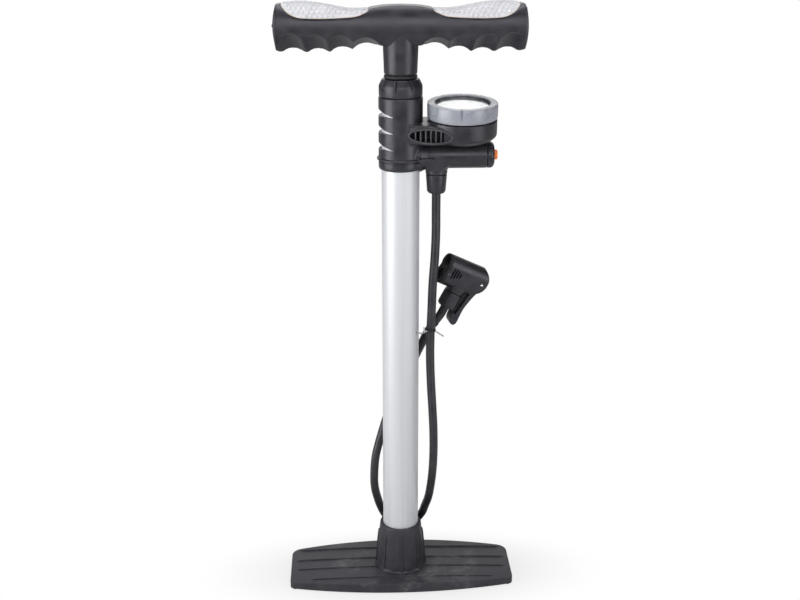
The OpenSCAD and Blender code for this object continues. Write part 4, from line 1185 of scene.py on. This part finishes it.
@dataclass
class Gauge:
    """The pressure gauge, drawn upright at the origin: bezel, lens, dial with its scale, and needle."""

    dial_top: float = 519.6
    zero: float = -135.0
    sweep: float = 270.0
    bars: int = 11
    number_r: float = 17.2

    @staticmethod
    def lean(shape: Shape) -> Shape:
        """Moves a shape to the gauge's axis, which leans to the front from the cross tube."""
        turn = Matrix.Rotation(math.radians(GAUGE_LEAN), 4, "X")
        foot, rise = Matrix.Translation((GAUGE_X, 0, CROSS_Z)), Matrix.Translation((0, 0, -CROSS_Z))
        return shape.move(foot @ turn @ rise)

    def fit(
        self, shape: Shape, name: str, finish: Finish, node: str = "", body: str = PUMP, sharp: float = 38
    ) -> bpy.types.Object:
        """Finishes a piece that is drawn upright, at the gauge's place."""
        return finish_piece(self.lean(shape), name, finish, body, (node,) if node else (), sharp)

    def angle(self, step: int, steps: int) -> float:
        """Returns the turn of one step of the scale, in radians."""
        return math.radians(self.zero - self.sweep * step / steps)

    def build(self) -> None:
        """Builds the gauge's pieces."""
        self.build_bezel()
        under = flowing([(0, 524.4), (10, 524.3), (20, 524), (26, 523.6)], 4) + [(28.5, 522), (31.3, 522)]
        crown = flowing([(27.1, 525.1), (20, 525.6), (10, 525.9), (0, 526)], 4)
        lens = Shape.lathe(under + [(31.3, 523.6), (27.2, 523.7)] + crown, 128, False)
        self.fit(lens, "gauge_window", LENS, "gauge_lens").visible_shadow = False
        top = self.dial_top
        dial = Shape.lathe([(1.3, top - 1), (31.4, top - 1), (31.4, top, 0.2), (1.3, top)], 128)
        self.fit(dial, "dial_plate", DIAL, "gauge_dial")
        wall = Shape.lathe([(27, top + 0.1), (31.3, top + 0.1), (31.3, 521.9), (28.6, 521.9)], 128)
        self.fit(wall, "dial_wall", WHITE, "gauge_spacer")
        self.build_scale()
        self.build_needle()

    def build_bezel(self) -> None:
        """Builds the bezel with eight V grooves in its side, and the dark ring around the window."""
        bezel = Shape.lathe([
            (31.7, 513.3), (34.7, 513.3, 0.3), (35, 515.5), (35, 526.6, 0.9), (34.2, 528, 0.5),
            (27.8, 528, 0.5), (27.4, 524.1), (31.7, 524.1),
        ], 192)
        groove = Shape.hull(
            (34.5, 0, 516.8), (31.4, 0, 531), (36.2, 5, 531), (36.2, -5, 531), (36.4, 0, 516.8)
        )
        bezel.cut(*groove.around(8, -96))
        self.fit(bezel, "bezel_ring", GREY, "gauge_bezel", sharp=30)
        gasket = Shape.lathe([(26.8, 525.2), (27.4, 525.2), (27.6, 527), (27.2, 527)], 128)
        self.fit(gasket, "lens_gasket", TRIM_BLACK)

    def build_scale(self) -> None:
        """Builds the dial's strokes and plain numbers."""
        scale = Shape()
        steps = self.bars * 5
        for i in range(steps + 1):
            start, half = (20.4, 0.28) if i % 5 == 0 else (22.4, 0.14)
            stroke = Shape.block((start, -half, 0), (24.6, half, 0.06))
            scale.gather(stroke.move(Matrix.Rotation(self.angle(i, steps), 4, "Z")))
        scale.gather(Shape.lathe([(25.2, 0), (25.6, 0), (25.6, 0.06), (25.2, 0.06)], 96))
        for i in range(self.bars + 1):
            turn = self.angle(i, self.bars)
            place = (self.number_r * math.cos(turn), self.number_r * math.sin(turn), 0)
            scale.gather(self.number(str(i), 3.6).move(Matrix.Translation(place)))
        scale.gather(self.number("bar", 3.0).move(Matrix.Translation((0, -11, 0))))
        self.fit(scale.at(0, 0, self.dial_top), "dial_scale", PRINT)

    @staticmethod
    def number(text: str, size: float) -> Shape:
        """Returns a word or a number as a thin flat solid, centred at the origin."""
        curve = bpy.data.curves.new("number", "FONT")
        curve.body, curve.size, curve.extrude = text, size, 0.03
        curve.align_x, curve.align_y = "CENTER", "CENTER"
        curve.resolution_u = 3
        shape = Shape().take(evaluated(linked("number", curve)))
        return shape.move(Matrix.Translation((0, 0, 0.03)))

    def build_needle(self) -> None:
        """Builds the needle and its pale hub."""
        top = self.dial_top
        blade = Shape.prism(
            [(-2.4, -1), (10, -0.55), (21, -0.22), (21, 0.22), (10, 0.55), (-2.4, 1)],
            Plane.XY, top + 0.5, top + 0.9,
        ).bevel(0.1, 2, 50)
        blade.move(Matrix.Rotation(math.radians(self.zero), 4, "Z"))
        shaft = Shape.lathe([(0, 504), (1, 504), (1, top + 0.7), (0, top + 0.7)], 32, False)
        self.fit(blade.gather(shaft), "needle", NEEDLE, "gauge_needle", "gauge_needle")
        hub = Shape.lathe([
            (0, top + 0.95), (2.6, top + 0.95, 0.1), (2.6, top + 1.4, 0.3), (1.2, top + 1.8, 0.3),
            (0, top + 1.8),
        ], 48, False)
        self.fit(hub, "needle_hub", WHITE, body="gauge_needle")


@dataclass
class Outlet:
    """What sits on the cross tube: the end cap, the release button and the hose nut."""

    slot_count: int = 8
    nut_sides: int = 18

    def build(self) -> None:
        """Builds the end cap, the button and the hose nut."""
        cap = Shape.lathe([
            (5.05, 83), (5.05, 93.4, 0.4), (10.8, 93.4, 1.8), (13.1, 90.8, 1.4), (13.1, 86.5, 0.3),
            (6.85, 86.5), (6.85, 78), (2.05, 78), (2.05, 83),
        ], 96)
        slot = Shape.block((11.9, -0.55, 88.2), (15, 0.55, 91.8))
        cap.cut(*slot.around(self.slot_count, 6)).at(0, 0, CROSS_Z, Lie.TO_X)
        finish_piece(cap, "tube_end_cap", BLACK, PUMP, ("release_end_cap",), 30)
        button = Shape.lathe([
            (0, 96.3), (2.6, 96.5), (4.2, 97, 0.5), (5, 96.2, 0.5), (5, 88.5), (2, 88.5), (2, 75), (0, 75),
        ], 64, False)
        button.at(0, 0, CROSS_Z, Lie.TO_X)
        finish_piece(button, "release_knob", ORANGE, "release_button", ("release_button",))
        self.build_nut()

    def build_nut(self) -> None:
        """Builds the tapered hose nut with its narrow flats."""
        nut = Shape.lathe([
            (3.15, 435.6), (8, 435.6), (9.5, 437.6), (10.7, 454.2), (10.4, 454.9), (7.15, 454.9),
            (7.15, 450), (3.15, 450),
        ], self.nut_sides).bevel(0.3, 2, 15)
        finish_piece(nut.at(OUTLET_X, 0, 0), "hose_nut_shell", BLACK, PUMP, ("hose_nut",), 12)


@dataclass
class Chuck:
    """The twin-port chuck at the hose's end, with its nut, pin and lever."""

    hose_end: tuple[float, float, float] = (48, 17, 308)
    run: tuple[float, float] = (8, 15)
    turn: float = 15.0
    thickness: float = 22.0
    low: float = 21.0
    high: float = 54.7
    nose: tuple[float, float, float] = (9.6, 40.6, 16.8)
    ports: tuple[float, float] = (30.5, 46.9)
    pin: tuple[float, float] = (20.2, 38.6)
    slits: tuple[tuple[float, float, float], ...] = (
        (-16.4, 32.6, 44.4), (-13.6, 33.6, 44.6), (-10.7, 35.2, 43.8), (-7.6, 36.4, 41.2),
    )
    slit_half: float = 0.85
    # The slits stop short of the ports, where the plunger moves
    slit_reach: tuple[float, float] = (-20.0, -6.6)
    fork_half: float = 6.3
    port_r: float = 6.1
    pin_r: float = 2.05
    pieces: list[bpy.types.Object] = field(default_factory=list)

    def frame(self) -> Matrix:
        """Returns the chuck's place: Z goes on along the hose and the ports face -X."""
        tilt = Matrix.Rotation(math.atan2(*self.run), 4, "Y")
        turn = Matrix.Rotation(math.radians(self.turn), 4, "Z")
        return Matrix.Translation(self.hose_end) @ tilt @ turn

    def place(self, shape: Shape, name: str, finish: Finish, body: str, node: str, sharp: float) -> None:
        """Finishes a piece that is drawn in the chuck's own frame."""
        self.pieces.append(finish_piece(shape.move(self.frame()), name, finish, body, (node,), sharp))

    def section(self, inset: float, start: float, end: float) -> Shape:
        """Returns the chuck's stadium section, extruded along X."""
        r = self.thickness / 2 - inset
        low, high = self.low + self.thickness / 2, self.high - self.thickness / 2
        over, under = arc((0, high), r, 0, math.pi, 24), arc((0, low), r, math.pi, 2 * math.pi, 24)
        return Shape.prism(over + under, Plane.YZ, start, end)

    def waists(self) -> list[Shape]:
        """Returns the hollows in both sides of the face, between the ports."""
        z = sum(self.ports) / 2
        return [Shape.rod((-30, 17.6 * y, z), (-14, 19.4 * y, z), 8.4) for y in (-1, 1)]

    def pin_hole(self, reach: float) -> Shape:
        """Returns the lever pin's hole, reaching as far to the front as to the back."""
        px, pz = self.pin
        return Shape.rod((px, -reach, pz), (px, reach, pz), self.pin_r)

    def body(self) -> Shape:
        """Returns the chuck's body with its ports, slits and lever fork."""
        x, z, r = self.nose
        nose = arc((x, z), r, math.radians(-75), math.asin((self.high - z) / r), 32)
        side = [(-21.8, self.low), (6.5, self.low)] + nose + [(-21.8, self.high)]
        body = Shape.prism(side, Plane.XZ, -20, 20).meet(self.section(0, -40, 60))
        neck = Shape.lathe([(2, 18.2), (9.3, 18.2, 0.3), (9.5, 20.4), (10.4, 23), (10.4, 30), (2, 30)], 64)
        body.gather(neck).fuse(0.5, 4)
        body.cut(*self.waists())
        half = self.fork_half
        rooms = Shape.block((4, -half, 24.9), (12.5, half, 52.0))
        rooms.unite(Shape.block((12, -half, 10), (60, half, 49.3)))
        for z in self.ports:
            rooms.unite(Shape.rod((-30, 0, z), (5, 0, z), self.port_r))
        rooms.unite(self.pin_hole(30))
        for x, z1, z2 in self.slits:
            x1, x2 = x - self.slit_half, x + self.slit_half
            outline = [(x1, z1, 0.5), (x2, z1, 0.5), (x2, z2, 0.5), (x1, z2, 0.5)]
            slit = Shape.prism(outline, Plane.XZ, *self.slit_reach)
            rooms.gather(slit, slit.mirrored(1))
        return body.cut(rooms)

    def lever(self) -> Shape:
        """Returns the lever: a cam and a curved arm with a deep groove along each side."""
        px, pz = self.pin
        outer = flowing([
            (24.6, 37), (23.8, 31), (22.3, 26.4), (20.7, 21.6), (19.3, 15), (18.2, 9), (17.8, 3), (18.2, -4),
            (18.6, -9.5),
        ], 4)
        tip = flowing([
            (18.6, -9.5), (18.1, -13), (16.6, -14.8), (14, -15), (11.2, -13.6), (9.6, -10.6), (8.8, -6),
            (8.8, -2.4),
        ], 4)[1:]
        inner = flowing([(9.4, -1.2), (10.5, 0.4), (10.6, 6), (11.3, 14), (12.6, 24), (13.4, 32)], 4)
        arm = Shape.prism(outer + tip + inner, Plane.XZ, -6, 6)
        cam = Shape.rod((px, -6, pz + 0.4), (px, 6, pz + 0.4), 6.2)
        arm.gather(cam).fuse(0.4, 3)
        line = flowing([
            (16.6, 30), (15.4, 24), (14.4, 14), (13.6, 6), (12.8, -1), (11.6, -3.4), (10, -2.6), (9.2, 1.5),
        ], 4)
        groove = Shape.prism(line + [(9.2, 30)], Plane.XZ, -9, -2.2)
        return arm.cut(groove, groove.mirrored(1), self.pin_hole(10))

    def build(self) -> list[bpy.types.Object]:
        """Builds the chuck and returns its pieces."""
        self.place(self.body(), "chuck_shell", BLACK, PUMP, "chuck_body", 42)
        plate = self.section(0.1, -24.3, -21.6).cut(*self.waists())
        for z in self.ports:
            plate.cut(Shape.rod((-30, 0, z), (-20, 0, z), 6.2))
        self.place(plate.bevel(0.5, 3, 50), "chuck_face", FACE_BLACK, PUMP, "chuck_face_plate", 40)
        nut = Shape.lathe([
            (0, 0.1), (8.4, 0.1), (9.5, 1.2), (9.8, 3), (9.8, 16.8), (9.3, 17.7), (0, 17.7),
        ], 20, False)
        self.place(nut.bevel(0.3, 2, 15), "chuck_hose_nut", BLACK, PUMP, "chuck_nut", 12)
        px, pz = self.pin
        end = [(0.0, 11.9), (0.8, 11.75), (1.5, 11.2), (2.0, 10.3)]
        pin = Shape.lathe([(r, -y) for r, y in end] + end[::-1], 32, False)
        self.place(pin.at(px, 0, pz, Lie.TO_Y), "lever_pivot", STEEL, PUMP, "lever_pin", 40)
        self.place(self.lever(), "chuck_lever_arm", BLACK, "chuck_lever", "chuck_lever", 60)
        return self.pieces


@dataclass
class Handle:
    """The plunger's handle with its stem, two soft grips and the bumper ring."""

    half_length: float = 123.5
    half_depth: float = 18.0
    low: float = 576.4
    high: float = 625.8
    fingers: tuple[tuple[float, float, float], ...] = (
        (32.7, 585.2, 0.45), (56.0, 581.6, 0.8), (79.7, 580.0, 0.95), (104, 580.6, 1.0),
    )
    finger_r: float = 19.0
    boat: tuple[tuple[float, float], ...] = (
        (26.4, 623), (28.2, 620.6), (32.5, 616.8), (37.7, 613.8), (44, 611.8), (58.8, 610.6),
        (73.5, 610.1), (86, 610.2), (98.7, 611.2), (106.6, 614.6), (112.5, 619.9), (116, 625),
    )
    dome_r: float = 69.0
    dome_z: float = 601.0
    rim_z: float = 600.0
    rim_reach: float = 20.0
    rim_sink: float = 0.45
    # The grip's crown: where it starts, over which height it grows, and how flat it is
    crown: tuple[float, float, float] = (611.0, 12.0, 130.0)
    bump_pitch: float = 5.0
    bump_size: tuple[float, float, float] = (2.0, 2.0, 0.75)
    bump_rows: int = 7
    row_share: float = 0.866
    bump_arc: float = 26.0
    bump_axis: float = 597.0
    bump_margin: float = 1.8
    bump_reach: tuple[float, float] = (29.0, 116.0)
    ray_reach: float = 60.0

    def ring(self, inset: float) -> list[tuple[float, float]]:
        """Returns the bar's rounded section as points of Y and Z."""
        mid, half = (self.low + self.high) / 2, (self.high - self.low) / 2 - inset
        depth = self.half_depth - inset
        power = 2 / 2.2
        ring = []
        for i in range(96):
            c, s = math.cos(2 * math.pi * i / 96), math.sin(2 * math.pi * i / 96)
            ring.append((
                math.copysign(depth * abs(c) ** power, c), mid + math.copysign(half * abs(s) ** power, s),
            ))
        return ring

    def section(self, inset: float = 0) -> Shape:
        """Returns the bar's rounded section along its whole length."""
        return Shape.prism(self.ring(inset), Plane.YZ, -self.half_length, self.half_length)

    def side(self, top: Sequence[Corner]) -> Shape:
        """Returns the bar's side view under a top line, as a slab.

        Args:
            top: The top line of the +X half, from the middle outwards.

        Returns:
            The slab for both halves.
        """
        bottom = [(124, 584, 2), (118.5, 577.2, 3), (69, 576.2), (46, 578.6), (23, 583.8), (0, 584)]
        right = list(top) + bottom
        left = [(-c[0], *c[1:]) for c in reversed(right[1:-1])]
        return Shape.prism(right + left, Plane.XZ, -30, 30)

    def ends(self) -> Shape:
        """Returns a long round body whose domed ends shape the bar's ends."""
        radius = self.dome_r
        dome = [(r, self.half_length - radius + math.sqrt(radius**2 - r * r)) for r in range(0, 46, 3)]
        profile = [(r, -x) for r, x in dome] + list(reversed(dome))
        return Shape.lathe(profile, 96, False).at(0, 0, self.dome_z, Lie.TO_X)

    def rim(self, side: int, face: int) -> list[Corner]:
        """Returns the line down the bar's end where its dome starts, in front or behind."""
        line = []
        for y, z in self.ring(0.5):
            if y * face > 0 and abs(z - self.rim_z) < self.rim_reach:
                rise = math.sqrt(self.dome_r**2 - y * y - (z - self.dome_z) ** 2)
                x = self.half_length - self.dome_r + rise
                line.append((side * (x - self.rim_sink), y, z))
        line.sort(key=lambda p: p[2])
        return line

    def bar(self) -> Shape:
        """Returns the bar with its finger hollows and its two grip beds."""
        crest = flowing([
            (0, 621.7), (12, 621.3), (20, 620.6), (27, 619.4), (31, 618.6), (36, 617.9), (44, 617.5),
            (56, 618.6), (72, 620.4),
        ], 4)
        bar = self.section().meet(self.side(crest + [(100, 623), (117, 623.4, 2.5), (124, 620.6, 2)]))
        for x, z, slope in self.fingers:
            drop = self.finger_r * math.hypot(1, slope)
            base = x - 4 * slope**2
            for side in (-1, 1):
                for y in (-1, 1):
                    start = (side * (base - 1.2 * slope), -4 * y, z - drop - 4 * slope)
                    end = (side * (base + 9 * slope), 30 * y, z - drop + 30 * slope)
                    bar.cut(Shape.rod(start, end, self.finger_r, sides=96))
        bed = self.grip_bed(0)
        return bar.cut(bed, bed.mirrored(0))

    def grip_bed(self, inset: float) -> Shape:
        """Returns the boat-shaped room of the +X grip, drawn in by an inset."""
        line = [(x, z + inset) for x, z in flowing(self.boat, 5)]
        return Shape.prism(line + [(116, 640), (26.4, 640)], Plane.XZ, -30, 30)

    def build(self) -> None:
        """Builds the bar with its stem, the grips and the bumper ring."""
        stem = Shape.lathe([
            (6.15, 555), (15.4, 555, 0.5), (16.4, 556.4, 0.6), (16.7, 566), (17.4, 585), (17.4, 606),
            (10.15, 606), (10.15, 579.4), (6.15, 579.4),
        ], 96)
        room = Shape.lathe([
            (0, 550), (6.15, 550), (6.15, 579.4), (10.15, 579.4), (10.15, 603.7), (0, 603.7),
        ], 64, False)
        nub = Shape.rod((-124.2, 0, 602), (-121, 0, 602), 1.2, 3.2, 24)
        bar = self.bar().cut(room).fuse(0.8, 20).meet(self.ends())
        bar.cut(*(Shape.block((-36, y - 3, 596.2), (36, y + 3, 596.8)) for y in (-20.3, 20.3)))
        finish_piece(bar.gather(nub, stem), "handle_bar", BLACK, HANDLE, ("handle_body",), 50)
        rims = [self.rim(x, y) for x in (-1, 1) for y in (-1, 1)]
        dress(wire_piece("end_bead", rims, 1.2, 2, 2), BLACK, HANDLE)
        self.build_grip("grip_left", -1)
        self.build_grip("grip_right", 1)
        ring = Shape.lathe([
            (6.15, 551.3), (15.6, 551.3, 0.8), (16.6, 552.4, 0.5), (16.6, 553.8, 0.6), (15.4, 554.95, 0.4),
            (6.15, 554.95),
        ], 96)
        finish_piece(ring, "stem_bumper", RUBBER, HANDLE, ("bumper_ring",))

    def build_grip(self, name: str, side: int) -> None:
        """Builds a soft grip with staggered bumps and its edge bead.

        Args:
            name: The CAD node that the grip stands for.
            side: 1 for the +X grip, -1 for the other.
        """
        top = flowing([
            (20, 619.4), (27, 619), (31, 618.5), (36, 618), (44, 617.7), (50, 618), (58, 619.2), (68, 621.2),
            (80, 623.4), (92, 624.8), (106, 624.6), (125, 622),
        ], 5)
        grip = self.section(-0.35).meet(self.grip_bed(0.15))
        under = Shape.prism(top + [(125, 600), (20, 600)], Plane.XZ, -30, 30)
        grip.meet(under).fuse(0.7, 5)
        start, height, flatness = self.crown
        for v in grip.bm.verts:
            v.co.z -= max(v.co.z - start, 0) / height * v.co.y**2 / flatness
        tree = BVHTree.FromBMesh(grip.bm)
        bumps = Shape()
        first, last = self.bump_reach
        for row in range(-self.bump_rows, self.bump_rows + 1):
            x = first + self.bump_pitch / 2 * (row % 2)
            while x < last:
                self.add_bump(bumps, tree, x, row * self.bump_pitch * self.row_share / self.bump_arc)
                x += self.bump_pitch
        grip.gather(bumps)
        edge = self.edge_lines(tree)
        if side < 0:
            grip = grip.mirrored(0)
            edge = [[(-p[0], p[1], p[2]) for p in line] for line in edge]
        finish_piece(grip, f"{name}_pad", GRIP, HANDLE, (name,), 180)
        dress(wire_piece(f"{name}_edge", edge, 0.4, 2), GRIP_EDGE, HANDLE)

    def edge(self, x: float) -> float:
        """Returns the height of the grip's lower edge at x."""
        line = flowing(self.boat, 5)
        for (x1, z1), (x2, z2) in zip(line, line[1:]):
            if x1 <= x <= x2:
                return z1 + (z2 - z1) * (x - x1) / (x2 - x1)
        return 640.0

    def add_bump(self, bumps: Shape, tree: BVHTree, x: float, turn: float) -> None:
        """Sets a round bump on the grip's skin at x, turned from the top, unless its edge is near."""
        out = Vector((0, math.sin(turn), math.cos(turn)))
        hit, normal, _, _ = tree.ray_cast(Vector((x, 0, self.bump_axis)) + self.ray_reach * out, -out)
        if hit is None or hit.z < self.edge(x) + self.bump_margin:
            return
        stand = normal.to_track_quat("Z", "Y").to_matrix().to_4x4()
        matrix = Matrix.Translation(hit) @ stand @ Matrix.Diagonal((*self.bump_size, 1))
        bmesh.ops.create_uvsphere(bumps.bm, u_segments=9, v_segments=5, radius=1.0, matrix=matrix)

    def edge_lines(self, tree: BVHTree) -> list[list[Corner]]:
        """Returns the grip's lower edges, in front and behind, as lines on its skin."""
        lines = []
        for y in (-1, 1):
            line = []
            for x, z in flowing(self.boat, 3)[2:-2]:
                hit, _, _, _ = tree.ray_cast(Vector((x, self.ray_reach * y, z + 0.35)), Vector((0, -y, 0)))
                if hit is not None:
                    line.append(tuple(hit))
            lines.append(line)
        return lines


def dress_carried() -> None:
    """Gives every CAD node that still shows the finish of its slot."""
    slots = {row["node"]: row["material_slot"] for row in frame["record"]["subparts"]}
    for name, obj in frame["nodes"].items():
        if not obj.hide_render:
            obj.data.materials.clear()
            obj.data.materials.append(CARRIED[slots[name]].material())
            LOG.info("%s keeps its CAD shape", name)


def main() -> None:
    """Builds the scene: the camera and the hose first, then each sub-assembly."""
    logging.basicConfig(level=logging.INFO, format="%(message)s")
    studio = Studio()
    studio.set_camera()
    hose = Hose()
    hose_piece = hose.build()
    chuck_pieces = Chuck().build()
    hose.build_tie()
    for part in (Foot(), Barrel(), Head(), Gauge(), Outlet(), Handle()):
        part.build()
    dress_carried()
    studio.set_light()


if __name__ == "__main__":
    main()
